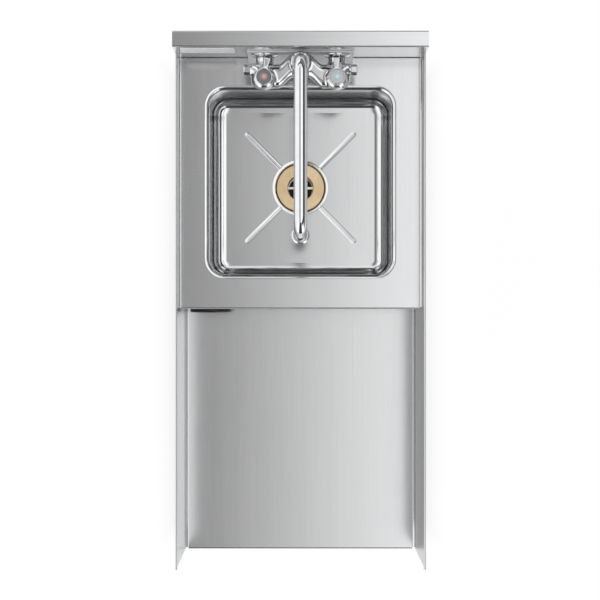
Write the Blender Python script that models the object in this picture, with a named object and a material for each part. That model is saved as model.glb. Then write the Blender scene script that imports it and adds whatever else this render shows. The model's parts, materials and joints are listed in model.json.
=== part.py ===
"""Underbar blender station: a coved deck with a dump sink and a swing-spout faucet behind, and a recessed
blender shelf in front, between full-length side panels, on four adjustable legs.

Metres, +Z up. The origin is on the floor under the middle of the station; the user stands at -Y.
"""

import math

import bmesh
import bpy
from mathutils import Matrix, Vector

MM = 0.001

# Driving sizes of the station
STATION_WIDTH = 355.6 * MM
STATION_DEPTH = 756.0 * MM
DECK_HEIGHT = 762.0 * MM
DECK_DEPTH = 363.2 * MM
SPLASH_RISE = 127.0 * MM
SPLASH_DEPTH = 23.2 * MM
RIM_RISE = 57.0 * MM
SHELF_DROP = 196.0 * MM
PANEL_DROP = 32.0 * MM  # the side panels end this far under the shelf

# Sheet metal
SHEET = 1.2 * MM
GAP = 0.3 * MM  # between pieces that touch
CUT_OVERRUN = 4.0 * MM
EDGE_BREAK = 0.3 * MM
MERGE_DISTANCE = 0.003 * MM  # points of a spun shape that meet on its axis or its seam
BEND_RADIUS = 3.0 * MM
HEM_THICKNESS = 2.8 * MM
HEM_HEIGHT = 9.0 * MM
PANEL_FLANGE = 25.0 * MM
DECK_COVE = 2.5 * MM
DECK_LIP = 14.0 * MM
SHELF_COVE = 3.0 * MM
SHELF_LIP = 25.0 * MM
SHELF_TUCK = 6.0 * MM  # the shelf runs this far behind the riser's face
SPLASH_TAIL = 25.0 * MM  # the backsplash reaches this far under the deck
SPLASH_BACK_LIP = 25.0 * MM

# Sink bowl
SINK_SIDE_MARGIN = 39.8 * MM
SINK_FRONT_MARGIN = 43.8 * MM
SINK_REAR_MARGIN = 40.8 * MM
SINK_CORNER = 30.0 * MM
SINK_ROLL = 6.35 * MM
SINK_FILLET = 19.0 * MM
SINK_DEPTH = 152.0 * MM
SINK_FALL = 2.5 * MM
DRAIN_RING_WIDTH = 5.0 * MM
DRAIN_STEP_WIDTH = 2.5 * MM
DRAIN_STEP_FALL = 0.5 * MM
DRAIN_SEAT_MARGIN = 2.5 * MM  # round the drain's flange in its recess
DRAIN_SEAT_DEPTH = 4.1 * MM

# Drain
DRAIN_THREAD_RADIUS = 23.9 * MM
DRAIN_FLANGE_RADIUS = 36.0 * MM
DRAIN_FLANGE_THICKNESS = 2.2 * MM
DRAIN_THROAT_RADIUS = 19.0 * MM
DRAIN_FUNNEL_RADIUS = 31.0 * MM
DRAIN_DISH_DEPTH = 1.2 * MM
DRAIN_FUNNEL_DEPTH = 7.5 * MM
DRAIN_BODY_LENGTH = 43.4 * MM
DRAIN_CROSS_WIDTH = 3.6 * MM
DRAIN_CROSS_HEIGHT = 4.0 * MM
GASKET_WIDTH = 9.8 * MM
GASKET_THICKNESS = 2.0 * MM
LOCKNUT_WIDTH = 10.8 * MM  # from its bore to its corners
LOCKNUT_HEIGHT = 8.6 * MM
TAILPIECE_RADIUS = 19.05 * MM
TAILPIECE_WALL = 1.2 * MM
TAILPIECE_LENGTH = 120.0 * MM
TAILPIECE_FLANGE_THICKNESS = 2.4 * MM
SLIP_NUT_WALL = 5.8 * MM
SLIP_NUT_GRIP = 18.0 * MM
SLIP_NUT_LIP = 4.8 * MM

# Cord grommet and blank plate
GROMMET_RADIUS = 30.8 * MM
GROMMET_NECK_RADIUS = 25.0 * MM
GROMMET_BORE_RADIUS = 20.0 * MM
GROMMET_FLANGE = 6.6 * MM
GROMMET_NECK_LENGTH = 5.0 * MM
GROMMET_INSET = 44.3 * MM  # its centre from the left side of the station
GROMMET_ROUND = 1.6 * MM
PLATE_THICKNESS = 0.8 * MM
PLATE_HEIGHT = 53.0 * MM
PLATE_TOP_INSET = 9.0 * MM
PLATE_END_INSET = 10.4 * MM
PLATE_BRACKET_SPACE = 16.7 * MM
PLATE_CORNER = 3.0 * MM

# Faucet bracket
BRACKET_OVERHANG = 24.2 * MM  # past each inlet's axis
BRACKET_THICKNESS = 1.5 * MM
BRACKET_RISE = 88.0 * MM
BRACKET_KICK_RISE = 34.0 * MM
BRACKET_FOOT_DEPTH = 12.3 * MM

# Faucet body
INLET_CENTRES = 101.6 * MM
INLET_RISE = 62.0 * MM
INLET_ARM_RADIUS = 13.0 * MM
SHANK_RADIUS = 10.4 * MM
SHANK_BORE = 6.2 * MM
SHANK_TAIL = 17.0 * MM  # the shank stands this far behind the backsplash face
INLET_BORE_REACH = 13.0 * MM  # and its bore ends this far in front of it
SHANK_CLEARANCE = 0.4 * MM
WALL_FLANGE_RADIUS = 20.0 * MM
WALL_FLANGE_THICKNESS = 5.0 * MM
WALL_FLANGE_CHAMFER = 1.6 * MM
SHANK_NUT_RADIUS = 17.3 * MM
SHANK_NUT_THICKNESS = 6.0 * MM
BODY_RISE = 70.0 * MM
BODY_OVERHANG = 18.9 * MM  # past each inlet's axis
BODY_HALF_DEPTH = 16.5 * MM
BODY_HALF_HEIGHT = 14.0 * MM
BODY_VALVE_OFFSET = 35.0 * MM  # the casting's middle from the backsplash face, at the valves
BODY_CENTRE_OFFSET = 19.6 * MM  # and at the spout
BODY_NECK_START = 10.0 * MM
BODY_NECK_END = 30.0 * MM
BODY_END_ROUND = 14.0 * MM
PLUG_OFFSET = 25.5 * MM
PLUG_BOSS_RADIUS = 9.0 * MM
PLUG_THREAD_RADIUS = 5.8 * MM
PLUG_THREAD_LENGTH = 9.0 * MM
PLUG_HEAD_RADIUS = 7.6 * MM
PLUG_HEAD_LENGTH = 8.4 * MM
PLUG_BOSS_STAND = 1.6 * MM

# Valves and handles
HANDLE_OFFSET = 39.9 * MM  # the handle axes from the backsplash face
VALVE_RADIUS = 14.0 * MM
VALVE_TOP_RISE = 93.0 * MM
VALVE_BORE_RADIUS = 9.0 * MM
VALVE_BORE_DEPTH = 17.0 * MM
BONNET_THREAD_LENGTH = 11.0 * MM
BONNET_BASE_INSET = 0.6 * MM  # from the valve column's side
BONNET_TAPER = 2.9 * MM
BONNET_HEIGHT = 13.2 * MM
BONNET_SHOULDER = 6.0 * MM
STEM_RADIUS = 4.0 * MM
STEM_CLEARANCE = 0.35 * MM
STEM_FOOT_CLEARANCE = 1.0 * MM
STEM_FOOT_HEIGHT = 4.2 * MM
STEM_TOP_GRIP = 6.6 * MM
HUB_RADIUS = 12.0 * MM
HUB_HEIGHT = 12.2 * MM
HUB_CHAMFER = 2.4 * MM
HUB_EDGE = 1.2 * MM
INDEX_RIM = 2.0 * MM  # from the index button's side to the hub's
INDEX_THICKNESS = 2.3 * MM
INDEX_SEAT_DEPTH = 1.9 * MM
SCREW_RADIUS = 2.0 * MM
SCREW_HEAD_RADIUS = 3.6 * MM
SCREW_HEAD_HEIGHT = 1.3 * MM
SCREW_SEAT_DEPTH = 1.9 * MM
SCREW_REACH = 8.6 * MM
LEVER_REACH = 29.5 * MM
LEVER_START = 7.0 * MM
LEVER_ROOT_RISE = 6.0 * MM
LEVER_TIP_RISE = 9.8 * MM
LEVER_ROOT_HALF_WIDTH = 5.6 * MM
LEVER_NECK_HALF_WIDTH = 3.4 * MM
LEVER_TIP_HALF_WIDTH = 4.7 * MM
LEVER_ROOT_HALF_HEIGHT = 3.8 * MM
LEVER_TIP_HALF_HEIGHT = 2.2 * MM
HOT_LEVER_TURN = math.radians(-11.0)
COLD_LEVER_TURN = math.radians(2.0)

# Spout
SWIVEL_OFFSET = 17.9 * MM
SPOUT_RADIUS = 9.525 * MM
SPOUT_WALL = 1.2 * MM
SPOUT_CLEARANCE = 0.325 * MM
SPOUT_RUN_RISE = 136.0 * MM
SPOUT_REACH = 241.6 * MM
SPOUT_REAR_BEND = 16.0 * MM
SPOUT_TIP_BEND = 28.0 * MM
SPOUT_TIP_TAIL = 11.0 * MM
SPOUT_SEAT_DEPTH = 17.0 * MM
SPOUT_COLLAR_WIDTH = 2.275 * MM
SPOUT_COLLAR_HEIGHT = 2.0 * MM
BOSS_WALL = 2.45 * MM
BOSS_TOP_RISE = 97.0 * MM
BOSS_BORE_DEPTH = 21.0 * MM
SPOUT_NUT_WALL = 2.8 * MM
SPOUT_NUT_GRIP = 8.0 * MM
SPOUT_NUT_LIP = 4.4 * MM
SPOUT_NUT_CHAMFER = 1.4 * MM
AERATOR_WALL = 3.0 * MM
AERATOR_BORE = 7.5 * MM
AERATOR_CUP = 6.3 * MM
AERATOR_LENGTH = 19.0 * MM
AERATOR_CHAMFER = 1.3 * MM

# Stand
CHANNEL_DROP = 25.0 * MM
CHANNEL_SHEET = 1.5 * MM
CHANNEL_SOCKET_SPACE = 1.5 * MM
CHANNEL_SIDE_INSET = 4.0 * MM
FRONT_LEG_INSET = 45.0 * MM  # from the front edges of the side panels
REAR_LEG_INSET = 34.8 * MM  # from the backsplash face
LEG_SIDE_INSET = 35.8 * MM
LEG_RADIUS = 20.65 * MM
LEG_WALL = 1.5 * MM
SOCKET_WALL = 3.6 * MM
SOCKET_CLEARANCE = 0.35 * MM
SOCKET_FLANGE_WIDTH = 4.75 * MM
SOCKET_PLATE = 3.0 * MM
SOCKET_LENGTH = 60.0 * MM
SET_SCREW_RADIUS = 3.0 * MM
SET_SCREW_HEAD_RADIUS = 5.4 * MM
SET_SCREW_HEAD_LENGTH = 4.0 * MM
FOOT_HEIGHT = 60.0 * MM
FOOT_RADIUS = 19.0 * MM
FOOT_TOE_RADIUS = 9.5 * MM
FOOT_TOE_ROUND = 2.5 * MM
FOOT_TAPER_HEIGHT = 40.0 * MM
FOOT_SHOULDER_HEIGHT = 52.0 * MM
FOOT_NECK_RADIUS = 14.5 * MM
FOOT_STEM_RADIUS = 8.0 * MM
FOOT_STEM_LENGTH = 41.0 * MM
BUSHING_CLEARANCE = 0.4 * MM
BUSHING_LIP = 3.4 * MM
BUSHING_LENGTH = 31.7 * MM
RAIL_RADIUS = 12.7 * MM
RAIL_WALL = 1.2 * MM
RAIL_HEIGHT = 200.0 * MM

# How finely round shapes are divided
LARGE_STEPS = 24
ROUND_STEPS = 20
SMALL_STEPS = 12
HEX_STEPS = 6
CORNER_STEPS = 6
BEND_STEPS = 4
SHARP_ANGLE = math.radians(35.0)
BODY_STATIONS = 18
BODY_SECTION_STEPS = 16
BODY_ROUNDNESS = 0.8
TUBE_STEPS = 16
TUBE_BEND_STEPS = 6
LEVER_STATIONS = 6
LEVER_SECTION_STEPS = 12

# Places that follow from the sizes above
HALF_WIDTH = STATION_WIDTH / 2
BACK_Y = STATION_DEPTH / 2
FRONT_Y = -STATION_DEPTH / 2
FACE_Y = BACK_Y - SPLASH_DEPTH
DECK_FRONT_Y = FACE_Y - DECK_DEPTH
RISER_FACE_Y = DECK_FRONT_Y + SHEET + GAP
RIM_Z = DECK_HEIGHT + RIM_RISE
SPLASH_TOP_Z = DECK_HEIGHT + SPLASH_RISE
SHELF_Z = DECK_HEIGHT - SHELF_DROP
PANEL_BOTTOM_Z = SHELF_Z - PANEL_DROP
PANEL_INNER_X = HALF_WIDTH - SHEET
SINK_HALF_WIDTH = HALF_WIDTH - SINK_SIDE_MARGIN
SINK_FRONT_Y = DECK_FRONT_Y + SINK_FRONT_MARGIN
SINK_REAR_Y = FACE_Y - SINK_REAR_MARGIN
SINK_HALF_DEPTH = (SINK_REAR_Y - SINK_FRONT_Y) / 2
SINK_Y = (SINK_REAR_Y + SINK_FRONT_Y) / 2
DRAIN_RING_Z = DECK_HEIGHT - SINK_DEPTH - SINK_FALL
DRAIN_SEAT_Z = DRAIN_RING_Z - DRAIN_SEAT_DEPTH
DRAIN_HOLE_RADIUS = DRAIN_THREAD_RADIUS + GAP
DRAIN_SEAT_RADIUS = DRAIN_FLANGE_RADIUS + DRAIN_SEAT_MARGIN
DRAIN_STEP_RADIUS = DRAIN_SEAT_RADIUS + DRAIN_STEP_WIDTH
DRAIN_RING_RADIUS = DRAIN_STEP_RADIUS + DRAIN_RING_WIDTH
INLET_X = INLET_CENTRES / 2
INLET_Z = DECK_HEIGHT + INLET_RISE
BRACKET_HALF_WIDTH = INLET_X + BRACKET_OVERHANG
BRACKET_FRONT_Y = FACE_Y - GAP - BRACKET_THICKNESS
HANDLE_Y = FACE_Y - HANDLE_OFFSET
BODY_HALF_LENGTH = INLET_X + BODY_OVERHANG
INDEX_RADIUS = HUB_RADIUS - INDEX_RIM
SWIVEL_Y = FACE_Y - SWIVEL_OFFSET
SPOUT_BORE_RADIUS = SPOUT_RADIUS + SPOUT_CLEARANCE
SPOUT_COLLAR_RADIUS = SPOUT_RADIUS + SPOUT_COLLAR_WIDTH
BOSS_RADIUS = SPOUT_BORE_RADIUS + BOSS_WALL
SPOUT_NUT_RADIUS = BOSS_RADIUS + GAP + SPOUT_NUT_WALL
AERATOR_RADIUS = SPOUT_BORE_RADIUS + AERATOR_WALL
CHANNEL_TOP_Z = PANEL_BOTTOM_Z - GAP
SOCKET_TOP_Z = CHANNEL_TOP_Z - CHANNEL_SHEET - GAP
SOCKET_RADIUS = LEG_RADIUS + SOCKET_WALL
SOCKET_FLANGE_RADIUS = SOCKET_RADIUS + SOCKET_FLANGE_WIDTH
LEG_X = HALF_WIDTH - LEG_SIDE_INSET
LEG_TOP_Z = SOCKET_TOP_Z - SOCKET_PLATE - GAP
LEG_BOTTOM_Z = FOOT_HEIGHT + GAP + BUSHING_LIP + GAP
FRONT_LEG_Y = FRONT_Y + FRONT_LEG_INSET
REAR_LEG_Y = FACE_Y - REAR_LEG_INSET
STEM_TOP_RISE = VALVE_TOP_RISE + GAP + BONNET_HEIGHT + GAP + STEM_TOP_GRIP
HUB_BASE_RISE = VALVE_TOP_RISE + GAP + BONNET_HEIGHT + GAP


def finish(name, colour, roughness, metallic):
    """A plain finish: colour, roughness and metallic value."""
    material = bpy.data.materials.new(name)
    material.use_nodes = True
    shader = material.node_tree.nodes["Principled BSDF"]
    shader.inputs["Base Color"].default_value = (*colour, 1)
    shader.inputs["Roughness"].default_value = roughness
    shader.inputs["Metallic"].default_value = metallic
    material.diffuse_color = (*colour, 1)
    return material


def solid(name, shape, material, place=(0, 0, 0), turn=0, smooth=True):
    """Makes an object of a bmesh, with its faces outward, at a place and turned about the upright axis."""
    bmesh.ops.recalc_face_normals(shape, faces=shape.faces)
    mesh = bpy.data.meshes.new(name)
    shape.to_mesh(mesh)
    shape.free()
    mesh.materials.append(material)
    if smooth:
        mesh.shade_smooth()
        mesh.set_sharp_from_angle(angle=SHARP_ANGLE)
    piece = bpy.data.objects.new(name, mesh)
    piece.location = place
    piece.rotation_euler = (0, 0, turn)
    bpy.context.collection.objects.link(piece)
    return piece


def join_or_cut(piece, tool, operation):
    """Adds a Boolean to a piece, and marks its tool as a helper."""
    tool.hide_render = True
    tool.display_type = "WIRE"
    modifier = piece.modifiers.new(tool.name, "BOOLEAN")
    modifier.operation = operation
    modifier.solver = "EXACT"
    modifier.object = tool


def prism(outline, axis, start, end):
    """An outline carried along an axis; its points are (y, z) along X, (x, z) along Y or (x, y) along Z."""
    place_of = {
        "X": lambda a, b: (start, a, b),
        "Y": lambda a, b: (a, start, b),
        "Z": lambda a, b: (a, b, start),
    }
    along = {"X": Vector((1, 0, 0)), "Y": Vector((0, 1, 0)), "Z": Vector((0, 0, 1))}
    shape = bmesh.new()
    corners = [shape.verts.new(place_of[axis](a, b)) for a, b in outline]
    face = shape.faces.new(corners)
    swept = bmesh.ops.extrude_face_region(shape, geom=[face])
    moved = [item for item in swept["geom"] if isinstance(item, bmesh.types.BMVert)]
    bmesh.ops.translate(shape, verts=moved, vec=along[axis] * (end - start))
    return shape


def lathe(profile, steps, axis="Z"):
    """A profile of (radius, height) points spun once round, closed on the axis or round a bore."""
    shape = bmesh.new()
    points = [shape.verts.new((radius, 0, height)) for radius, height in profile]
    edges = [shape.edges.new(pair) for pair in zip(points, points[1:])]
    if profile[0][0] > 0:
        edges.append(shape.edges.new((points[-1], points[0])))
    bmesh.ops.spin(
        shape,
        geom=points + edges,
        cent=(0, 0, 0),
        axis=(0, 0, 1),
        angle=math.tau,
        steps=steps,
        use_duplicate=False,
    )
    bmesh.ops.remove_doubles(shape, verts=shape.verts, dist=MERGE_DISTANCE)
    turns = {
        "Z": Matrix.Identity(3),
        "X": Matrix.Rotation(math.radians(90), 3, "Y"),
        "-X": Matrix.Rotation(math.radians(-90), 3, "Y"),
        "-Y": Matrix.Rotation(math.radians(90), 3, "X"),
    }
    bmesh.ops.transform(shape, matrix=turns[axis].to_4x4(), verts=shape.verts)
    return shape


def rod(radius, start, end, steps, axis="Z"):
    """A plain round bar between two heights on its axis."""
    return lathe([(0, start), (radius, start), (radius, end), (0, end)], steps, axis)


def ring(outer, inner, start, end, steps, axis="Z"):
    """A plain tube between two heights on its axis."""
    return lathe([(inner, start), (outer, start), (outer, end), (inner, end)], steps, axis)


def loft(rings, closed=False, capped=False):
    """Rings of as many points each, joined in turn; the last joins the first, or both ends are filled."""
    shape = bmesh.new()
    loops = [[shape.verts.new(point) for point in points] for points in rings]
    pairs = list(zip(loops, loops[1:]))
    if closed:
        pairs.append((loops[-1], loops[0]))
    for lower, upper in pairs:
        count = len(lower)
        for index in range(count):
            after = (index + 1) % count
            shape.faces.new((lower[index], lower[after], upper[after], upper[index]))
    if capped:
        shape.faces.new(loops[0])
        shape.faces.new(loops[-1])
    return shape


def arc(centre, radius, start, end, steps):
    """Points on an arc between two angles in degrees."""
    points = []
    for index in range(steps + 1):
        angle = math.radians(start + (end - start) * index / steps)
        points.append((centre[0] + radius * math.cos(angle), centre[1] + radius * math.sin(angle)))
    return points


def rounded_rectangle(half_width, half_depth, corner, steps=CORNER_STEPS):
    """The outline of a rectangle with round corners about the origin, from its front right corner."""
    points = []
    for quarter, (side, end) in enumerate(((1, -1), (1, 1), (-1, 1), (-1, -1))):
        centre = (side * (half_width - corner), end * (half_depth - corner))
        points += arc(centre, corner, 90 * quarter - 90, 90 * quarter, steps)
    return points


def circle_like_rectangle(radius, steps=CORNER_STEPS):
    """As many points as the rounded rectangle has, evenly round a circle and facing the same corners."""
    count = 4 * (steps + 1)
    points = []
    for quarter in range(4):
        for index in range(steps + 1):
            angle = math.radians(90 * quarter - 45) + (index - steps / 2) * math.tau / count
            points.append((radius * math.cos(angle), radius * math.sin(angle)))
    return points


def folded_sheet(name, height, front_y, rear_y, cove_end_y, cove, lip, material):
    """A sheet with its sides coved up to the side panels and its front bent down, thickened below."""
    edge_x = PANEL_INNER_X - GAP - SHEET
    flat_x = edge_x - cove
    side = arc((flat_x, height + cove), cove, -90, 0, BEND_STEPS)
    path = [(front_y, height - lip)]
    path += arc((front_y + BEND_RADIUS, height - BEND_RADIUS), BEND_RADIUS, 180, 90, BEND_STEPS)
    path += [(cove_end_y, height)]
    if rear_y > cove_end_y:
        path += [(rear_y, height)]
    bend_row = BEND_STEPS + 1
    shape = bmesh.new()
    rows = [[shape.verts.new((-flat_x, y, z)), shape.verts.new((flat_x, y, z))] for y, z in path]
    for lower, upper in zip(rows, rows[1:]):
        shape.faces.new((lower[0], lower[1], upper[1], upper[0]))
    for sign, inner in ((-1, 0), (1, 1)):
        front = [rows[bend_row][inner]]
        rear = [rows[bend_row + 1][inner]]
        for x, z in side[1:]:
            front.append(shape.verts.new((sign * x, path[bend_row][0], z)))
            rear.append(shape.verts.new((sign * x, cove_end_y, z)))
        for index in range(BEND_STEPS):
            corners = [front[index], front[index + 1], rear[index + 1], rear[index]]
            if sign < 0:
                corners.reverse()
            shape.faces.new(corners)
    return thickened(name, shape, material)


def thickened(name, shape, material):
    """An open sheet, its faces as wound, with the sheet's thickness added behind them."""
    mesh = bpy.data.meshes.new(name)
    shape.to_mesh(mesh)
    shape.free()
    mesh.materials.append(material)
    mesh.shade_smooth()
    mesh.set_sharp_from_angle(angle=SHARP_ANGLE)
    piece = bpy.data.objects.new(name, mesh)
    bpy.context.collection.objects.link(piece)
    wall = piece.modifiers.new("thickness", "SOLIDIFY")
    wall.thickness = SHEET
    wall.offset = -1
    wall.use_even_offset = True
    return piece


def make_side_panel(name, side, steel):
    """A flat side with a hemmed rim at its top and a flange turned in at its bottom."""
    hem_x = HALF_WIDTH - HEM_THICKNESS
    round_radius = HEM_THICKNESS / 2
    hem_centre = (HALF_WIDTH - round_radius, RIM_Z - round_radius)
    outline = [(HALF_WIDTH, PANEL_BOTTOM_Z)]
    outline += arc(hem_centre, round_radius, 0, 180, 2 * BEND_STEPS)
    outline += [
        (hem_x, RIM_Z - HEM_HEIGHT),
        (PANEL_INNER_X, RIM_Z - HEM_HEIGHT),
        (PANEL_INNER_X, PANEL_BOTTOM_Z + SHEET),
        (HALF_WIDTH - PANEL_FLANGE, PANEL_BOTTOM_Z + SHEET),
        (HALF_WIDTH - PANEL_FLANGE, PANEL_BOTTOM_Z),
    ]
    outline = [(side * x, z) for x, z in outline]
    solid(name, prism(outline, "Y", FRONT_Y, FACE_Y - GAP), steel)


def make_deck(steel):
    """The top sheet round the sink."""
    rear_y = FACE_Y - GAP
    deck = folded_sheet("deck", DECK_HEIGHT, DECK_FRONT_Y, rear_y, rear_y, DECK_COVE, DECK_LIP, steel)
    hole = rounded_rectangle(SINK_HALF_WIDTH + GAP, SINK_HALF_DEPTH + GAP, SINK_CORNER + GAP)
    cutter = prism(hole, "Z", DECK_HEIGHT - CUT_OVERRUN, DECK_HEIGHT + CUT_OVERRUN)
    join_or_cut(deck, solid("deck_cut", cutter, steel, (0, SINK_Y, 0)), "DIFFERENCE")


def make_shelf(steel):
    """The recessed shelf that the blender stands on."""
    rear_y = DECK_FRONT_Y + SHELF_TUCK
    cove_end_y = DECK_FRONT_Y - GAP
    folded_sheet("blender_shelf", SHELF_Z, FRONT_Y, rear_y, cove_end_y, SHELF_COVE, SHELF_LIP, steel)


def make_sink(steel):
    """The pressed bowl: rolled top, upright walls, filleted floor that falls to the drain's seat."""
    floor_inset = SINK_ROLL + SINK_FILLET
    floor_z = DECK_HEIGHT - SINK_DEPTH

    def rectangle(inset, height):
        corner = SINK_CORNER - inset
        outline = rounded_rectangle(SINK_HALF_WIDTH - inset, SINK_HALF_DEPTH - inset, corner)
        return [(x, y, height) for x, y in outline]

    def circle(radius, height):
        return [(x, y, height) for x, y in circle_like_rectangle(radius)]

    def side_of(behind):
        roll = arc((0, DECK_HEIGHT - SINK_ROLL), SINK_ROLL - behind, 90, 0, BEND_STEPS)
        centre = (floor_inset, floor_z + SINK_FILLET)
        fillet = arc(centre, SINK_FILLET + behind, 180, 270, BEND_STEPS)
        rings = [rectangle(inset, height) for inset, height in roll + fillet]
        rings += [
            circle(DRAIN_RING_RADIUS, DRAIN_RING_Z - behind),
            circle(DRAIN_STEP_RADIUS + behind, DRAIN_RING_Z - DRAIN_STEP_FALL - behind),
            circle(DRAIN_SEAT_RADIUS + behind, DRAIN_SEAT_Z - behind),
            circle(DRAIN_HOLE_RADIUS, DRAIN_SEAT_Z - behind),
        ]
        return rings

    rings = side_of(0) + side_of(SHEET)[::-1]
    solid("sink_bowl", loft(rings, closed=True), steel, (0, SINK_Y, 0))


def make_riser(steel, black):
    """The upright sheet between deck and shelf, and the grommet in its cord hole."""
    half_width = PANEL_INNER_X - GAP
    low = SHELF_Z + GAP
    high = DECK_HEIGHT - BEND_RADIUS
    outline = [(-half_width, low), (half_width, low), (half_width, high), (-half_width, high)]
    riser = solid("riser_panel", prism(outline, "Y", RISER_FACE_Y, RISER_FACE_Y + SHEET), steel)
    place = (GROMMET_INSET - HALF_WIDTH, RISER_FACE_Y, (low + high) / 2)
    hole = rod(GROMMET_NECK_RADIUS + GAP, -CUT_OVERRUN, CUT_OVERRUN, LARGE_STEPS, "-Y")
    join_or_cut(riser, solid("riser_cut", hole, black, place), "DIFFERENCE")
    front = GAP + GROMMET_FLANGE
    neck_end = -SHEET - GROMMET_NECK_LENGTH
    profile = [
        (GROMMET_BORE_RADIUS, neck_end),
        (GROMMET_NECK_RADIUS, neck_end),
        (GROMMET_NECK_RADIUS, GAP),
        (GROMMET_RADIUS, GAP),
        (GROMMET_RADIUS, front - GROMMET_ROUND),
        (GROMMET_RADIUS - GROMMET_ROUND, front),
        (GROMMET_BORE_RADIUS + GROMMET_ROUND, front),
        (GROMMET_BORE_RADIUS, front - GROMMET_ROUND),
    ]
    solid("cord_grommet", lathe(profile, LARGE_STEPS, "-Y"), black, place)


def make_backsplash(steel):
    """A raised box with a flat ledge, closed ends and an open back, holed for the faucet's shanks."""
    bottom_z = DECK_HEIGHT - SPLASH_TAIL
    low_bend_z = SPLASH_TOP_Z - BEND_RADIUS
    path = [(FACE_Y, bottom_z)]
    path += arc((FACE_Y + BEND_RADIUS, low_bend_z), BEND_RADIUS, 180, 90, BEND_STEPS)
    path += arc((BACK_Y - BEND_RADIUS, low_bend_z), BEND_RADIUS, 90, 0, BEND_STEPS)
    path += [(BACK_Y, SPLASH_TOP_Z - SPLASH_BACK_LIP)]
    shape = bmesh.new()
    left = [shape.verts.new((-HALF_WIDTH, y, z)) for y, z in path]
    right = [shape.verts.new((HALF_WIDTH, y, z)) for y, z in path]
    for index in range(len(path) - 1):
        shape.faces.new((left[index], right[index], right[index + 1], left[index + 1]))
    left_heel = shape.verts.new((-HALF_WIDTH, BACK_Y, bottom_z))
    right_heel = shape.verts.new((HALF_WIDTH, BACK_Y, bottom_z))
    shape.faces.new(left + [left_heel])
    shape.faces.new((right + [right_heel])[::-1])
    backsplash = thickened("backsplash", shape, steel)
    for name, side in (("splash_cut_left", -1), ("splash_cut_right", 1)):
        hole = rod(SHANK_RADIUS + SHANK_CLEARANCE, -CUT_OVERRUN, CUT_OVERRUN, ROUND_STEPS, "-Y")
        place = (side * INLET_X, FACE_Y, INLET_Z)
        join_or_cut(backsplash, solid(name, hole, steel, place), "DIFFERENCE")


def make_blank_plate(white):
    """A thin blank plate on the backsplash, between the bracket and the left end."""
    start = -HALF_WIDTH + PLATE_END_INSET
    end = -BRACKET_HALF_WIDTH - PLATE_BRACKET_SPACE
    middle = (start + end) / 2
    outline = rounded_rectangle((end - start) / 2, PLATE_HEIGHT / 2, PLATE_CORNER, BEND_STEPS)
    centre_z = SPLASH_TOP_Z - PLATE_TOP_INSET - PLATE_HEIGHT / 2
    outline = [(middle + x, centre_z + z) for x, z in outline]
    back = FACE_Y - GAP
    solid("blank_plate", prism(outline, "Y", back - PLATE_THICKNESS, back), white)


def make_faucet_bracket(steel):
    """A plate on the backsplash whose foot kicks out over the deck, with closed ends and a hollow foot."""
    back = FACE_Y - GAP
    kick_z = DECK_HEIGHT + BRACKET_KICK_RISE
    foot_z = DECK_HEIGHT + GAP
    foot_y = FACE_Y - BRACKET_FOOT_DEPTH
    outline = [
        (back, DECK_HEIGHT + BRACKET_RISE),
        (BRACKET_FRONT_Y, DECK_HEIGHT + BRACKET_RISE),
        (BRACKET_FRONT_Y, kick_z),
        (foot_y, foot_z),
        (back, foot_z),
    ]
    half_width = BRACKET_HALF_WIDTH
    bracket = solid("faucet_bracket", prism(outline, "X", -half_width, half_width), steel)
    slope = (BRACKET_FRONT_Y - foot_y) / (kick_z - foot_z)
    hollow = [
        (back + CUT_OVERRUN, kick_z),
        (back, kick_z),
        (foot_y + BRACKET_THICKNESS - slope * CUT_OVERRUN, foot_z - CUT_OVERRUN),
        (back + CUT_OVERRUN, foot_z - CUT_OVERRUN),
    ]
    inner_half_width = half_width - BRACKET_THICKNESS
    cutter = prism(hollow, "X", -inner_half_width, inner_half_width)
    join_or_cut(bracket, solid("bracket_hollow", cutter, steel), "DIFFERENCE")
    for name, side in (("bracket_cut_left", -1), ("bracket_cut_right", 1)):
        hole = rod(SHANK_RADIUS + SHANK_CLEARANCE, -CUT_OVERRUN, CUT_OVERRUN, ROUND_STEPS, "-Y")
        place = (side * INLET_X, FACE_Y, INLET_Z)
        join_or_cut(bracket, solid(name, hole, steel, place), "DIFFERENCE")


def body_casting():
    """The faucet's cast bar: a rounded section whose middle swings back to the spout between the valves."""
    rings = []
    for station in range(BODY_STATIONS + 1):
        share = -math.cos(math.pi * station / BODY_STATIONS)
        x = share * BODY_HALF_LENGTH
        past = max(abs(x) - (BODY_HALF_LENGTH - BODY_END_ROUND), 0) / BODY_END_ROUND
        size = max(math.sqrt(max(1 - past * past, 0)), GAP / BODY_HALF_HEIGHT)
        ease = min(max((abs(x) - BODY_NECK_START) / (BODY_NECK_END - BODY_NECK_START), 0), 1)
        ease = ease * ease * (3 - 2 * ease)
        offset = BODY_CENTRE_OFFSET + (BODY_VALVE_OFFSET - BODY_CENTRE_OFFSET) * ease
        points = []
        for index in range(BODY_SECTION_STEPS):
            angle = math.tau * index / BODY_SECTION_STEPS
            across = math.copysign(abs(math.cos(angle)) ** BODY_ROUNDNESS, math.cos(angle))
            up = math.copysign(abs(math.sin(angle)) ** BODY_ROUNDNESS, math.sin(angle))
            y = size * BODY_HALF_DEPTH * across - offset
            z = BODY_RISE + size * BODY_HALF_HEIGHT * up
            points.append((x, y, z))
        rings.append(points)
    return loft(rings, capped=True)


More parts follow.
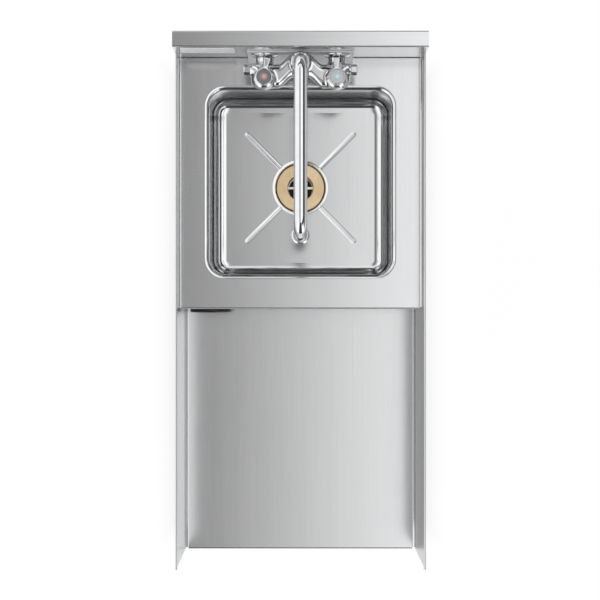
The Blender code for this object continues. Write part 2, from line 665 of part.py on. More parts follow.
def make_faucet_body(chrome):
    """The casting with its inlet arms and shanks, valve columns, plug bosses and the spout's boss."""
    body = solid("faucet_body", body_casting(), chrome, (0, FACE_Y, DECK_HEIGHT))
    cuts = []
    for word, side in (("hot", -1), ("cold", 1)):
        x = side * INLET_X
        inlet_place = (x, FACE_Y, INLET_Z)
        join_or_cut(body, solid(word + "_inlet", inlet_shape(), chrome, inlet_place), "UNION")
        valve_place = (x, HANDLE_Y, DECK_HEIGHT)
        column = rod(VALVE_RADIUS, BODY_RISE - CUT_OVERRUN, VALVE_TOP_RISE, ROUND_STEPS)
        join_or_cut(body, solid(word + "_column", column, chrome, valve_place), "UNION")
        bore_bottom = VALVE_TOP_RISE - VALVE_BORE_DEPTH
        bore = rod(VALVE_BORE_RADIUS, bore_bottom, VALVE_TOP_RISE + CUT_OVERRUN, ROUND_STEPS)
        cuts.append(solid(word + "_bore", bore, chrome, valve_place))
        along = "X" if side > 0 else "-X"
        boss_start = BODY_HALF_LENGTH - BODY_END_ROUND
        boss_end = BODY_HALF_LENGTH + PLUG_BOSS_STAND
        boss_place = (0, FACE_Y - PLUG_OFFSET, DECK_HEIGHT + BODY_RISE)
        boss = rod(PLUG_BOSS_RADIUS, boss_start, boss_end, ROUND_STEPS, along)
        join_or_cut(body, solid(word + "_plug_boss", boss, chrome, boss_place), "UNION")
        hole_start = boss_end - PLUG_THREAD_LENGTH - GAP
        hole = rod(PLUG_THREAD_RADIUS + GAP, hole_start, boss_end + CUT_OVERRUN, SMALL_STEPS, along)
        cuts.append(solid(word + "_plug_hole", hole, chrome, boss_place))
        make_body_plug(word + "_body_plug", along, boss_end, boss_place, chrome)
    swivel = (0, SWIVEL_Y, DECK_HEIGHT)
    boss = rod(BOSS_RADIUS, BODY_RISE - CUT_OVERRUN, BOSS_TOP_RISE, ROUND_STEPS)
    join_or_cut(body, solid("spout_boss", boss, chrome, swivel), "UNION")
    bore_bottom = BOSS_TOP_RISE - BOSS_BORE_DEPTH
    bore = rod(SPOUT_BORE_RADIUS, bore_bottom, BOSS_TOP_RISE + CUT_OVERRUN, ROUND_STEPS)
    cuts.append(solid("spout_bore", bore, chrome, swivel))
    for cutter in cuts:
        join_or_cut(body, cutter, "DIFFERENCE")


def inlet_shape():
    """A bored shank that steps out to an arm in front of its wall flange."""
    shoulder = FACE_Y - BRACKET_FRONT_Y + GAP + WALL_FLANGE_THICKNESS + GAP
    profile = [
        (SHANK_BORE, -SHANK_TAIL),
        (SHANK_RADIUS, -SHANK_TAIL),
        (SHANK_RADIUS, shoulder),
        (INLET_ARM_RADIUS, shoulder),
        (INLET_ARM_RADIUS, BODY_VALVE_OFFSET),
        (0, BODY_VALVE_OFFSET),
        (0, INLET_BORE_REACH),
        (SHANK_BORE, INLET_BORE_REACH),
    ]
    return lathe(profile[::-1], ROUND_STEPS, "-Y")


def make_body_plug(name, along, seat, place, chrome):
    """A hexagon-headed plug in the end of the casting's cross bore."""
    thread_start = seat - PLUG_THREAD_LENGTH
    thread = rod(PLUG_THREAD_RADIUS, thread_start, seat + GAP + CUT_OVERRUN, SMALL_STEPS, along)
    plug = solid(name, thread, chrome, place)
    head = rod(PLUG_HEAD_RADIUS, seat + GAP, seat + GAP + PLUG_HEAD_LENGTH, HEX_STEPS, along)
    join_or_cut(plug, solid(name + "_head", head, chrome, place), "UNION")


def make_inlet_fittings(word, side, chrome, brass):
    """A wall flange in front of the bracket, and the nut that draws the shank up behind the backsplash."""
    place = (side * INLET_X, FACE_Y, INLET_Z)
    back = FACE_Y - BRACKET_FRONT_Y + GAP
    front = back + WALL_FLANGE_THICKNESS
    inner = SHANK_RADIUS + SHANK_CLEARANCE
    profile = [
        (inner, back),
        (WALL_FLANGE_RADIUS, back),
        (WALL_FLANGE_RADIUS, front - WALL_FLANGE_CHAMFER),
        (WALL_FLANGE_RADIUS - WALL_FLANGE_CHAMFER, front),
        (inner, front),
    ]
    solid(word + "_wall_flange", lathe(profile, ROUND_STEPS, "-Y"), chrome, place)
    nut_front = -SHEET - GAP
    nut_back = nut_front - SHANK_NUT_THICKNESS
    blank = rod(SHANK_NUT_RADIUS, nut_back, nut_front, HEX_STEPS, "-Y")
    nut = solid(word + "_shank_nut", blank, brass, place, smooth=False)
    bore = rod(inner, nut_back - CUT_OVERRUN, nut_front + CUT_OVERRUN, ROUND_STEPS, "-Y")
    join_or_cut(nut, solid(word + "_shank_nut_bore", bore, brass, place), "DIFFERENCE")


def make_valve(word, side, turn, chrome, brass, insert):
    """A bonnet, and the pieces that turn in it: stem, handle, handle screw and index button."""
    place = (side * INLET_X, HANDLE_Y, DECK_HEIGHT)
    inner = STEM_RADIUS + STEM_CLEARANCE
    thread = VALVE_BORE_RADIUS - GAP
    seat = VALVE_TOP_RISE + GAP
    top = seat + BONNET_HEIGHT
    base_radius = VALVE_RADIUS - BONNET_BASE_INSET
    top_radius = base_radius - BONNET_TAPER
    profile = [
        (inner, VALVE_TOP_RISE - BONNET_THREAD_LENGTH),
        (thread, VALVE_TOP_RISE - BONNET_THREAD_LENGTH),
        (thread, seat),
        (base_radius, seat),
        (base_radius, seat + BONNET_SHOULDER),
        (top_radius, top - EDGE_BREAK),
        (top_radius - EDGE_BREAK, top),
        (inner, top),
    ]
    solid(word + "_bonnet", lathe(profile, ROUND_STEPS), chrome, place)

    stem_foot = VALVE_TOP_RISE - VALVE_BORE_DEPTH + STEM_CLEARANCE
    foot_radius = VALVE_BORE_RADIUS - STEM_FOOT_CLEARANCE
    screw_bore = SCREW_RADIUS + GAP
    screw_bottom = STEM_TOP_RISE - SCREW_REACH
    profile = [
        (0, stem_foot),
        (foot_radius, stem_foot),
        (foot_radius, stem_foot + STEM_FOOT_HEIGHT),
        (STEM_RADIUS, stem_foot + STEM_FOOT_HEIGHT),
        (STEM_RADIUS, STEM_TOP_RISE),
        (screw_bore, STEM_TOP_RISE),
        (screw_bore, screw_bottom - GAP),
        (0, screw_bottom - GAP),
    ]
    solid(word + "_stem", lathe(profile, SMALL_STEPS), brass, place, turn)

    hub_top = HUB_BASE_RISE + HUB_HEIGHT
    index_seat = hub_top - INDEX_SEAT_DEPTH
    screw_seat = index_seat - SCREW_SEAT_DEPTH
    hub_inner = INDEX_RADIUS + GAP
    profile = [
        (inner, HUB_BASE_RISE),
        (HUB_RADIUS - HUB_CHAMFER, HUB_BASE_RISE),
        (HUB_RADIUS, HUB_BASE_RISE + HUB_CHAMFER),
        (HUB_RADIUS, hub_top - HUB_EDGE),
        (HUB_RADIUS - HUB_EDGE, hub_top),
        (hub_inner, hub_top),
        (hub_inner, index_seat),
        (SCREW_HEAD_RADIUS + GAP, index_seat),
        (SCREW_HEAD_RADIUS + GAP, screw_seat),
        (screw_bore, screw_seat),
        (screw_bore, STEM_TOP_RISE + GAP),
        (inner, STEM_TOP_RISE + GAP),
    ]
    handle = solid(word + "_handle", lathe(profile, ROUND_STEPS), chrome, place, turn)
    join_or_cut(handle, solid(word + "_lever", lever_shape(), chrome, place, turn), "UNION")

    head_bottom = screw_seat + GAP
    profile = [
        (0, screw_bottom),
        (SCREW_RADIUS, screw_bottom),
        (SCREW_RADIUS, head_bottom),
        (SCREW_HEAD_RADIUS, head_bottom),
        (SCREW_HEAD_RADIUS, head_bottom + SCREW_HEAD_HEIGHT),
        (0, head_bottom + SCREW_HEAD_HEIGHT),
    ]
    solid(word + "_handle_screw", lathe(profile, SMALL_STEPS), chrome, place, turn)

    index_bottom = index_seat + GAP
    index_top = index_bottom + INDEX_THICKNESS
    profile = [
        (0, index_bottom),
        (INDEX_RADIUS, index_bottom),
        (INDEX_RADIUS, index_top - EDGE_BREAK),
        (INDEX_RADIUS - EDGE_BREAK, index_top),
        (0, index_top),
    ]
    solid(word + "_index_button", lathe(profile, ROUND_STEPS), insert, place, turn)


def lever_shape():
    """The lever: an oval bar that leaves the hub backwards, narrows, rises and widens to its tip."""
    rings = []
    for station in range(LEVER_STATIONS + 1):
        share = station / LEVER_STATIONS
        reach = LEVER_START + (LEVER_REACH - LEVER_START) * share
        rise = HUB_BASE_RISE + LEVER_ROOT_RISE
        rise += (LEVER_TIP_RISE - LEVER_ROOT_RISE) * share * share * (2 - share)
        half_height = LEVER_ROOT_HALF_HEIGHT + (LEVER_TIP_HALF_HEIGHT - LEVER_ROOT_HALF_HEIGHT) * share
        if share < 1 / 2:
            half_width = LEVER_ROOT_HALF_WIDTH + (LEVER_NECK_HALF_WIDTH - LEVER_ROOT_HALF_WIDTH) * 2 * share
        else:
            half_width = LEVER_NECK_HALF_WIDTH
            half_width += (LEVER_TIP_HALF_WIDTH - LEVER_NECK_HALF_WIDTH) * (2 * share - 1)
        points = []
        for index in range(LEVER_SECTION_STEPS):
            angle = math.tau * index / LEVER_SECTION_STEPS
            points.append((half_width * math.cos(angle), reach, rise + half_height * math.sin(angle)))
        rings.append(points)
    return loft(rings, capped=True)


def make_spout(chrome):
    """The swing spout: up through the nut, over, level to the front and down into the aerator."""
    run = SPOUT_RUN_RISE
    rear_start = run - SPOUT_REAR_BEND
    tip_start = -(SPOUT_REACH - SPOUT_TIP_BEND)
    tip_end = run - SPOUT_TIP_BEND
    collar_bottom = BOSS_TOP_RISE + GAP
    collar_top = collar_bottom + SPOUT_COLLAR_HEIGHT
    foot = (0, BOSS_TOP_RISE - SPOUT_SEAT_DEPTH, 0)
    collar = [
        (SPOUT_RADIUS, collar_bottom),
        (SPOUT_COLLAR_RADIUS, collar_bottom),
        (SPOUT_COLLAR_RADIUS, collar_top),
        (SPOUT_RADIUS, collar_top),
    ]
    route = []
    for index in range(TUBE_BEND_STEPS + 1):
        turn = math.pi / 2 * index / TUBE_BEND_STEPS
        y = -SPOUT_REAR_BEND * (1 - math.cos(turn))
        z = rear_start + SPOUT_REAR_BEND * math.sin(turn)
        route.append((y, z, turn))
    for index in range(TUBE_BEND_STEPS + 1):
        turn = math.pi / 2 * index / TUBE_BEND_STEPS
        y = tip_start - SPOUT_TIP_BEND * math.sin(turn)
        z = tip_end + SPOUT_TIP_BEND * math.cos(turn)
        route.append((y, z, math.pi / 2 + turn))
    route.append((-SPOUT_REACH, tip_end - SPOUT_TIP_TAIL, math.pi))

    def section(y, z, turn, radius):
        points = []
        for index in range(TUBE_STEPS):
            angle = math.tau * index / TUBE_STEPS
            out = radius * math.sin(angle)
            points.append((radius * math.cos(angle), y + out * math.cos(turn), z + out * math.sin(turn)))
        return points

    outer = [section(*foot, SPOUT_RADIUS)]
    outer += [section(0, height, 0, radius) for radius, height in collar]
    outer += [section(*station, SPOUT_RADIUS) for station in route]
    inner = [section(*station, SPOUT_RADIUS - SPOUT_WALL) for station in [foot] + route]
    solid("spout", loft(outer + inner[::-1], closed=True), chrome, (0, SWIVEL_Y, DECK_HEIGHT))

    lip_bottom = collar_top + GAP
    nut_top = lip_bottom + SPOUT_NUT_LIP
    nut_bottom = BOSS_TOP_RISE - SPOUT_NUT_GRIP
    profile = [
        (BOSS_RADIUS + GAP, nut_bottom),
        (SPOUT_NUT_RADIUS, nut_bottom),
        (SPOUT_NUT_RADIUS, nut_top - SPOUT_NUT_CHAMFER),
        (SPOUT_NUT_RADIUS - SPOUT_NUT_CHAMFER, nut_top),
        (SPOUT_BORE_RADIUS, nut_top),
        (SPOUT_BORE_RADIUS, lip_bottom),
        (BOSS_RADIUS + GAP, lip_bottom),
    ]
    solid("spout_nut", lathe(profile, LARGE_STEPS), chrome, (0, SWIVEL_Y, DECK_HEIGHT))

    tube_end = tip_end - SPOUT_TIP_TAIL
    top = tube_end + AERATOR_CUP
    bottom = top - AERATOR_LENGTH
    profile = [
        (AERATOR_BORE, bottom),
        (AERATOR_RADIUS - AERATOR_CHAMFER, bottom),
        (AERATOR_RADIUS, bottom + AERATOR_CHAMFER),
        (AERATOR_RADIUS, top - AERATOR_CHAMFER),
        (AERATOR_RADIUS - AERATOR_CHAMFER, top),
        (SPOUT_BORE_RADIUS, top),
        (SPOUT_BORE_RADIUS, tube_end - GAP),
        (AERATOR_BORE, tube_end - GAP),
    ]
    shape = lathe(profile, ROUND_STEPS)
    bmesh.ops.translate(shape, verts=shape.verts, vec=(0, -SPOUT_REACH, 0))
    solid("aerator", shape, chrome, (0, SWIVEL_Y, DECK_HEIGHT))


def make_drain(brass, chrome, rubber):
    """The strainer body in the bowl, and what holds it and carries the water on below."""
    place = (0, SINK_Y, 0)
    seat = DRAIN_SEAT_Z + GAP
    top = seat + DRAIN_FLANGE_THICKNESS
    bottom = seat - DRAIN_BODY_LENGTH
    funnel = top - DRAIN_FUNNEL_DEPTH
    wall_middle = (DRAIN_THROAT_RADIUS + DRAIN_THREAD_RADIUS) / 2
    profile = [
        (DRAIN_THROAT_RADIUS, bottom),
        (DRAIN_THREAD_RADIUS, bottom),
        (DRAIN_THREAD_RADIUS, seat),
        (DRAIN_FLANGE_RADIUS, seat),
        (DRAIN_FLANGE_RADIUS, top - DRAIN_FLANGE_THICKNESS / 2),
        (DRAIN_FLANGE_RADIUS - DRAIN_FLANGE_THICKNESS, top),
        (DRAIN_FUNNEL_RADIUS, top),
        (wall_middle, top - DRAIN_DISH_DEPTH),
        (DRAIN_THROAT_RADIUS, funnel),
    ]
    drain = solid("drain_flange", lathe(profile, LARGE_STEPS), brass, place)
    half = DRAIN_CROSS_WIDTH / 2
    arm = [(wall_middle, -half), (wall_middle, half), (half, half)]
    cross = []
    for _ in range(4):
        cross += arm
        arm = [(-y, x) for x, y in arm]
    bars = prism(cross, "Z", funnel - DRAIN_CROSS_HEIGHT - GAP, funnel - GAP)
    join_or_cut(drain, solid("drain_cross", bars, brass, place), "UNION")

    under = DRAIN_SEAT_Z - SHEET
    gasket_top = under - GAP
    gasket_bottom = gasket_top - GASKET_THICKNESS
    gasket_radius = DRAIN_HOLE_RADIUS + GASKET_WIDTH
    gasket = ring(gasket_radius, DRAIN_HOLE_RADIUS, gasket_bottom, gasket_top, LARGE_STEPS)
    solid("drain_gasket", gasket, rubber, place)
    nut_top = gasket_bottom - GAP
    nut_bottom = nut_top - LOCKNUT_HEIGHT
    blank = rod(DRAIN_HOLE_RADIUS + LOCKNUT_WIDTH, nut_bottom, nut_top, HEX_STEPS)
    nut = solid("drain_locknut", blank, brass, place, smooth=False)
    bore = rod(DRAIN_HOLE_RADIUS, nut_bottom - CUT_OVERRUN, nut_top + CUT_OVERRUN, LARGE_STEPS)
    join_or_cut(nut, solid("drain_locknut_bore", bore, brass, place), "DIFFERENCE")

    flange_top = bottom - GAP
    flange_bottom = flange_top - TAILPIECE_FLANGE_THICKNESS
    inner = TAILPIECE_RADIUS - TAILPIECE_WALL
    profile = [
        (inner, flange_top - TAILPIECE_LENGTH),
        (TAILPIECE_RADIUS, flange_top - TAILPIECE_LENGTH),
        (TAILPIECE_RADIUS, flange_bottom),
        (DRAIN_THREAD_RADIUS, flange_bottom),
        (DRAIN_THREAD_RADIUS, flange_top),
        (inner, flange_top),
    ]
    solid("tailpiece", lathe(profile, LARGE_STEPS), chrome, place)
    lip_top = flange_bottom - GAP
    nut_radius = DRAIN_HOLE_RADIUS + SLIP_NUT_WALL
    profile = [
        (TAILPIECE_RADIUS + GAP, lip_top - SLIP_NUT_LIP),
        (nut_radius, lip_top - SLIP_NUT_LIP),
        (nut_radius, lip_top + SLIP_NUT_GRIP),
        (DRAIN_HOLE_RADIUS, lip_top + SLIP_NUT_GRIP),
        (DRAIN_HOLE_RADIUS, lip_top),
        (TAILPIECE_RADIUS + GAP, lip_top),
    ]
    solid("tailpiece_nut", lathe(profile, LARGE_STEPS), chrome, place)


def make_leg_channel(name, y, steel):
    """An inverted channel across the underside."""
    inner = SOCKET_FLANGE_RADIUS + CHANNEL_SOCKET_SPACE
    half = inner + CHANNEL_SHEET
    top = CHANNEL_TOP_Z
    bottom = top - CHANNEL_DROP
    outline = [
        (y - half, bottom),
        (y - half, top),
        (y + half, top),
        (y + half, bottom),
        (y + inner, bottom),
        (y + inner, top - CHANNEL_SHEET),
        (y - inner, top - CHANNEL_SHEET),
        (y - inner, bottom),
    ]
    end = HALF_WIDTH - CHANNEL_SIDE_INSET
    solid(name, prism(outline, "X", -end, end), steel)


def make_leg(corner, x, y, steel, plastic):
    """One leg: socket with its set screw, tube, threaded bushing and bullet foot."""
    place = (x, y, 0)
    side = 1 if x > 0 else -1
    along = "X" if side > 0 else "-X"
    bore = LEG_RADIUS + SOCKET_CLEARANCE
    outer = SOCKET_RADIUS
    plate_bottom = SOCKET_TOP_Z - SOCKET_PLATE
    socket_bottom = SOCKET_TOP_Z - SOCKET_LENGTH
    profile = [
        (0, SOCKET_TOP_Z),
        (SOCKET_FLANGE_RADIUS, SOCKET_TOP_Z),
        (SOCKET_FLANGE_RADIUS, plate_bottom),
        (outer, plate_bottom),
        (outer, socket_bottom),
        (bore, socket_bottom),
        (bore, plate_bottom),
        (0, plate_bottom),
    ]
    socket = solid(corner + "_leg_socket", lathe(profile, ROUND_STEPS), steel, place)
    screw_place = (x, y, (plate_bottom + socket_bottom) / 2)
    hole_start = LEG_RADIUS - CUT_OVERRUN
    hole = rod(SET_SCREW_RADIUS + GAP, hole_start, outer + CUT_OVERRUN, SMALL_STEPS, along)
    join_or_cut(socket, solid(corner + "_screw_hole", hole, steel, screw_place), "DIFFERENCE")
    shank_start = LEG_RADIUS + GAP
    head_start = outer + GAP
    profile = [
        (0, shank_start),
        (SET_SCREW_RADIUS, shank_start),
        (SET_SCREW_RADIUS, head_start),
        (SET_SCREW_HEAD_RADIUS, head_start),
        (SET_SCREW_HEAD_RADIUS, head_start + SET_SCREW_HEAD_LENGTH),
        (0, head_start + SET_SCREW_HEAD_LENGTH),
    ]
    solid(corner + "_leg_set_screw", lathe(profile, 2 * HEX_STEPS, along), steel, screw_place)

    inner = LEG_RADIUS - LEG_WALL
    solid(corner + "_leg", ring(LEG_RADIUS, inner, LEG_BOTTOM_Z, LEG_TOP_Z, ROUND_STEPS), steel, place)

    lip_bottom = FOOT_HEIGHT + GAP
    lip_top = lip_bottom + BUSHING_LIP
    stem_bore = FOOT_STEM_RADIUS + BUSHING_CLEARANCE
    profile = [
        (stem_bore, lip_bottom),
        (LEG_RADIUS, lip_bottom),
        (LEG_RADIUS, lip_top),
        (inner - GAP, lip_top),
        (inner - GAP, lip_bottom + BUSHING_LENGTH),
        (stem_bore, lip_bottom + BUSHING_LENGTH),
    ]
    solid(corner + "_foot_bushing", lathe(profile, ROUND_STEPS), plastic, place)
    profile = [
        (0, 0),
        (FOOT_TOE_RADIUS, 0),
        (FOOT_TOE_RADIUS + FOOT_TOE_ROUND, FOOT_TOE_ROUND),
        (FOOT_RADIUS, FOOT_TAPER_HEIGHT),
        (FOOT_RADIUS, FOOT_SHOULDER_HEIGHT),
        (FOOT_NECK_RADIUS, FOOT_SHOULDER_HEIGHT),
        (FOOT_NECK_RADIUS, FOOT_HEIGHT),
        (FOOT_STEM_RADIUS, FOOT_HEIGHT),
        (FOOT_STEM_RADIUS, FOOT_HEIGHT + FOOT_STEM_LENGTH),
        (0, FOOT_HEIGHT + FOOT_STEM_LENGTH),
    ]
    solid(corner + "_foot", lathe(profile, ROUND_STEPS), steel, place)


def make_rail(name, x, steel):
    """A tube from the front leg to the rear leg, its ends cut round to fit the legs."""
    inner = RAIL_RADIUS - RAIL_WALL
    cut_reach = RAIL_RADIUS + CUT_OVERRUN
    shape = ring(RAIL_RADIUS, inner, -REAR_LEG_Y, -FRONT_LEG_Y, ROUND_STEPS, "-Y")
    rail = solid(name, shape, steel, (x, 0, RAIL_HEIGHT))
    for word, y in (("_front_cut", FRONT_LEG_Y), ("_rear_cut", REAR_LEG_Y)):
        cutter = rod(LEG_RADIUS + GAP, -cut_reach, cut_reach, ROUND_STEPS)
        join_or_cut(rail, solid(name + word, cutter, steel, (x, y, RAIL_HEIGHT)), "DIFFERENCE")


def main():
    for old in list(bpy.data.objects):
        bpy.data.objects.remove(old, do_unlink=True)
    steel = finish("brushed_stainless", (0.56, 0.56, 0.56), 0.32, 1)
    chrome = finish("polished_chrome", (0.82, 0.83, 0.84), 0.07, 1)
    brass = finish("aged_brass", (0.60, 0.49, 0.34), 0.28, 1)
    black = finish("black_plastic", (0.015, 0.015, 0.016), 0.45, 0)
    rubber = finish("black_rubber", (0.03, 0.03, 0.03), 0.7, 0)
    white = finish("white_plate", (0.86, 0.86, 0.86), 0.35, 0)
    hot_insert = finish("hot_insert", (0.62, 0.30, 0.30), 0.3, 0)
    cold_insert = finish("cold_insert", (0.55, 0.78, 0.86), 0.3, 0)

    make_deck(steel)
    make_sink(steel)
    make_backsplash(steel)
    make_side_panel("left_side_panel", -1, steel)
    make_side_panel("right_side_panel", 1, steel)
    make_shelf(steel)
    make_riser(steel, black)
    make_faucet_bracket(steel)
    make_blank_plate(white)
    make_faucet_body(chrome)
    make_inlet_fittings("hot", -1, chrome, brass)
    make_inlet_fittings("cold", 1, chrome, brass)
    make_valve("hot", -1, HOT_LEVER_TURN, chrome, brass, hot_insert)
    make_valve("cold", 1, COLD_LEVER_TURN, chrome, brass, cold_insert)
    make_spout(chrome)
    make_drain(brass, chrome, rubber)
    make_leg_channel("front_leg_channel", FRONT_LEG_Y, steel)
    make_leg_channel("rear_leg_channel", REAR_LEG_Y, steel)
    for end, y in (("front", FRONT_LEG_Y), ("rear", REAR_LEG_Y)):
        for hand, side in (("left", -1), ("right", 1)):
            make_leg(end + "_" + hand, side * LEG_X, y, steel, black)
    make_rail("left_rail", -LEG_X, steel)
    make_rail("right_rail", LEG_X, steel)


main()
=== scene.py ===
"""Looks of an underbar blender station: brushed sheet metal round a dump sink and a recessed shelf, a chrome
swing-spout faucet, a brass-coloured drain and a stand of four legs. Metres, +Z up, the user stands at -Y.
"""
import json
import math

import bmesh
import bpy
import numpy as np
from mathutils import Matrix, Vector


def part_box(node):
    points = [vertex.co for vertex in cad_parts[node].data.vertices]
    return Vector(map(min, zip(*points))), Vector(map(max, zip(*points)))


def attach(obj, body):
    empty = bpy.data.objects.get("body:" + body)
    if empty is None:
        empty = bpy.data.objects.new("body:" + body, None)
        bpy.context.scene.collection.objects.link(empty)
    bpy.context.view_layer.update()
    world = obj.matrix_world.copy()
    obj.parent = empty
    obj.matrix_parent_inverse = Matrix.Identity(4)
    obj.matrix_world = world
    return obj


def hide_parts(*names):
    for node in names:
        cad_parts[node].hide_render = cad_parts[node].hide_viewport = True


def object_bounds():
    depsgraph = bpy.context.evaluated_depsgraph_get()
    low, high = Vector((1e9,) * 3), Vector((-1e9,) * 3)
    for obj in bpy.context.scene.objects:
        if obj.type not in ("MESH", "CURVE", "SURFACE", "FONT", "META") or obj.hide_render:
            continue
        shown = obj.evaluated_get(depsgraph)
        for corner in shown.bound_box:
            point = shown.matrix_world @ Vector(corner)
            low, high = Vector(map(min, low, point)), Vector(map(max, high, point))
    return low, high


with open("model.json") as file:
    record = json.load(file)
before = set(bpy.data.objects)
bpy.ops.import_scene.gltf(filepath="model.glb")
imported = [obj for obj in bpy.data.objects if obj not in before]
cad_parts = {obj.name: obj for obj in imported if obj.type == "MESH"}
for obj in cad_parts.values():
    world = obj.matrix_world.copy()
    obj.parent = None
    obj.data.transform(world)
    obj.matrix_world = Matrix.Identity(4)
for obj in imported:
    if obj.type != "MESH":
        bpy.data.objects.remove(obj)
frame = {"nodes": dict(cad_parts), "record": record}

MM = 0.001
cad_box = [list(corner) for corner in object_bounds()]

# Axes
RIGHT = np.array((1.0, 0.0, 0.0))
REAR = np.array((0.0, 1.0, 0.0))
UP = np.array((0.0, 0.0, 1.0))
TURNING = {
    "Z": (RIGHT, REAR, UP),
    "X": (REAR, UP, RIGHT),
    "-X": (REAR, UP, -RIGHT),
    "-Y": (RIGHT, UP, -REAR),
}

# Sheet metal
SHEET = 1.2 * MM
PLATE = 1.5 * MM  # the faucet's bracket and the leg channels
TUBE_WALL = 1.2 * MM  # the spout, the tailpiece and the rails
GAP = 0.3 * MM
BEND_RADIUS = 3.0 * MM
DECK_COVE = 2.5 * MM
DECK_REAR_BEND = 1.0 * MM
SHELF_COVE = 3.0 * MM
SPLASH_BACK_LIP = 25.0 * MM
HEM_THICKNESS = 2.8 * MM
HEM_HEIGHT = 9.0 * MM
PANEL_FLANGE = 25.0 * MM
PANEL_BEND = 2.2 * MM
EDGE = 0.25 * MM

# Sink bowl
SINK_CORNER = 30.0 * MM
SINK_ROLL = 6.35 * MM
SINK_FILLET = 19.0 * MM
SINK_DEPTH = 152.0 * MM
DRAIN_RIM_WIDTH = 3.5 * MM
DRAIN_RIM_FALL = 0.95 * MM
DRAIN_STEP_WIDTH = 1.6 * MM
DRAIN_STEP_ROUND = 1.0 * MM
DRAIN_STEP_FOOT = 0.8 * MM
DRAIN_SEAT_RADIUS = 36.8 * MM
FLOOR_FALL = 0.1 * MM
GROOVE_START = 43.0 * MM
GROOVE_END = 113.0 * MM
GROOVE_HALF_WIDTH = 3.7 * MM
GROOVE_DEPTH = 0.76 * MM

# Drain
DRAIN_THROAT = 19.0 * MM
DRAIN_THREAD = 23.9 * MM
DRAIN_THREAD_HOLE = 24.2 * MM
DRAIN_FLANGE = 2.2 * MM
DRAIN_CROSS_REACH = 21.0 * MM
DRAIN_CROSS_HALF = 1.8 * MM
DRAIN_CROSS_HEIGHT = 4.0 * MM
GASKET_WIDTH = 9.8 * MM
LOCKNUT_RADIUS = 35.0 * MM
TAILPIECE_RADIUS = 19.05 * MM
TAILPIECE_FLANGE = 2.4 * MM
TAILPIECE_HOLE = 19.35 * MM

# Cord hole
GROMMET_NECK = 25.0 * MM
GROMMET_BORE = 20.0 * MM

# How finely round shapes are divided
ROUND = 72
FINE_ROUND = 112
NUT_ROUND = 120
CAST_STEP = 0.8 * MM
LEVER_STEP = 0.5 * MM
MERGE_DISTANCE = 0.001 * MM
SHARP_ANGLE = math.radians(38.0)
NEARLY_ZERO = 1e-9


def mm(*sizes):
    """Sizes given in millimetres, as a tuple in metres."""
    return tuple(size * MM for size in sizes)


def outline(*points, base=0.0):
    """Points of (radius, height) given in millimetres, as an array in metres, with heights from a base."""
    return np.array(points) * MM + (0, base)


def box(node):
    """The lowest and highest corner of a frame node, as arrays."""
    low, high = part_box(node)
    return np.array(low), np.array(high)


def middle(node):
    low, high = box(node)
    return (low + high) / 2


def half_width(node):
    low, high = box(node)
    return (high[0] - low[0]) / 2


# Lines and outlines

def arc(centre, radius, start, end, steps=8):
    """Points at a centre plus a radius times the cosine and sine of evenly spaced angles in degrees."""
    angle = np.radians(np.linspace(start, end, steps + 1))
    return np.stack((centre[0] + radius * np.cos(angle), centre[1] + radius * np.sin(angle)), -1)


def softened(corners, rounds, steps=5, closed=False):
    """A line through corners, each replaced by an arc that touches both its sides.

    The arc of radius r starts r over the tangent of half the corner's angle away from the corner, and its
    points are the two touching radii mixed by the sines of their shares of the turn.
    """
    corners = np.asarray(corners, float)
    rounds = np.broadcast_to(rounds, len(corners))
    runs = []
    for index, (corner, radius) in enumerate(zip(corners, rounds)):
        if radius <= 0 or (not closed and index in (0, len(corners) - 1)):
            runs.append(corner[None])
            continue
        back = corners[index - 1] - corner
        ahead = corners[(index + 1) % len(corners)] - corner
        back = back / np.linalg.norm(back)
        ahead = ahead / np.linalg.norm(ahead)
        half = math.acos(float(np.clip(back @ ahead, -1, 1))) / 2
        inward = (back + ahead) / np.linalg.norm(back + ahead)
        centre = corner + inward * radius / math.sin(half)
        first = corner + back * radius / math.tan(half) - centre
        last = corner + ahead * radius / math.tan(half) - centre
        share = np.linspace(0, 1, steps + 1)[:, None]
        turn = math.pi - 2 * half
        mixed = (np.sin((1 - share) * turn) * first + np.sin(share * turn) * last) / math.sin(turn)
        runs.append(centre + mixed)
    return np.vstack(runs)


def thick_line(path, thickness):
    """The outline of a bent sheet: a line, and the same line moved to its right by the sheet's thickness.

    Each point moves along the mean of the normals of its two sides, stretched by one over the cosine of
    half the bend so that the wall stays even.
    """
    step = np.diff(path, axis=0)
    unit = step / np.linalg.norm(step, axis=1, keepdims=True)
    normal = np.stack((unit[:, 1], -unit[:, 0]), -1)
    before = np.vstack((normal[:1], normal))
    after = np.vstack((normal, normal[-1:]))
    mean = before + after
    mean /= np.linalg.norm(mean, axis=1, keepdims=True)
    stretch = 1 / (mean * before).sum(1, keepdims=True)
    return np.vstack((path, (path + mean * stretch * thickness)[::-1]))


def round_box_reach(angle, half_x, half_y, corner):
    """How far a ray from the middle of a rectangle with round corners runs to its edge.

    It ends on a straight side, or on a corner's circle: there the reach is the corner centre's share along
    the ray plus the root of radius squared less the centre's squared distance from the ray.
    """
    across = np.maximum(np.abs(np.cos(angle)), NEARLY_ZERO)
    along = np.maximum(np.abs(np.sin(angle)), NEARLY_ZERO)
    side = np.minimum(half_x / across, half_y / along)
    x = half_x - corner
    y = half_y - corner
    centre = across * x + along * y
    inside = centre**2 - (x * x + y * y) + corner * corner
    in_corner = (side * across > x) & (side * along > y)
    return np.where(in_corner, centre + np.sqrt(np.maximum(inside, 0)), side)


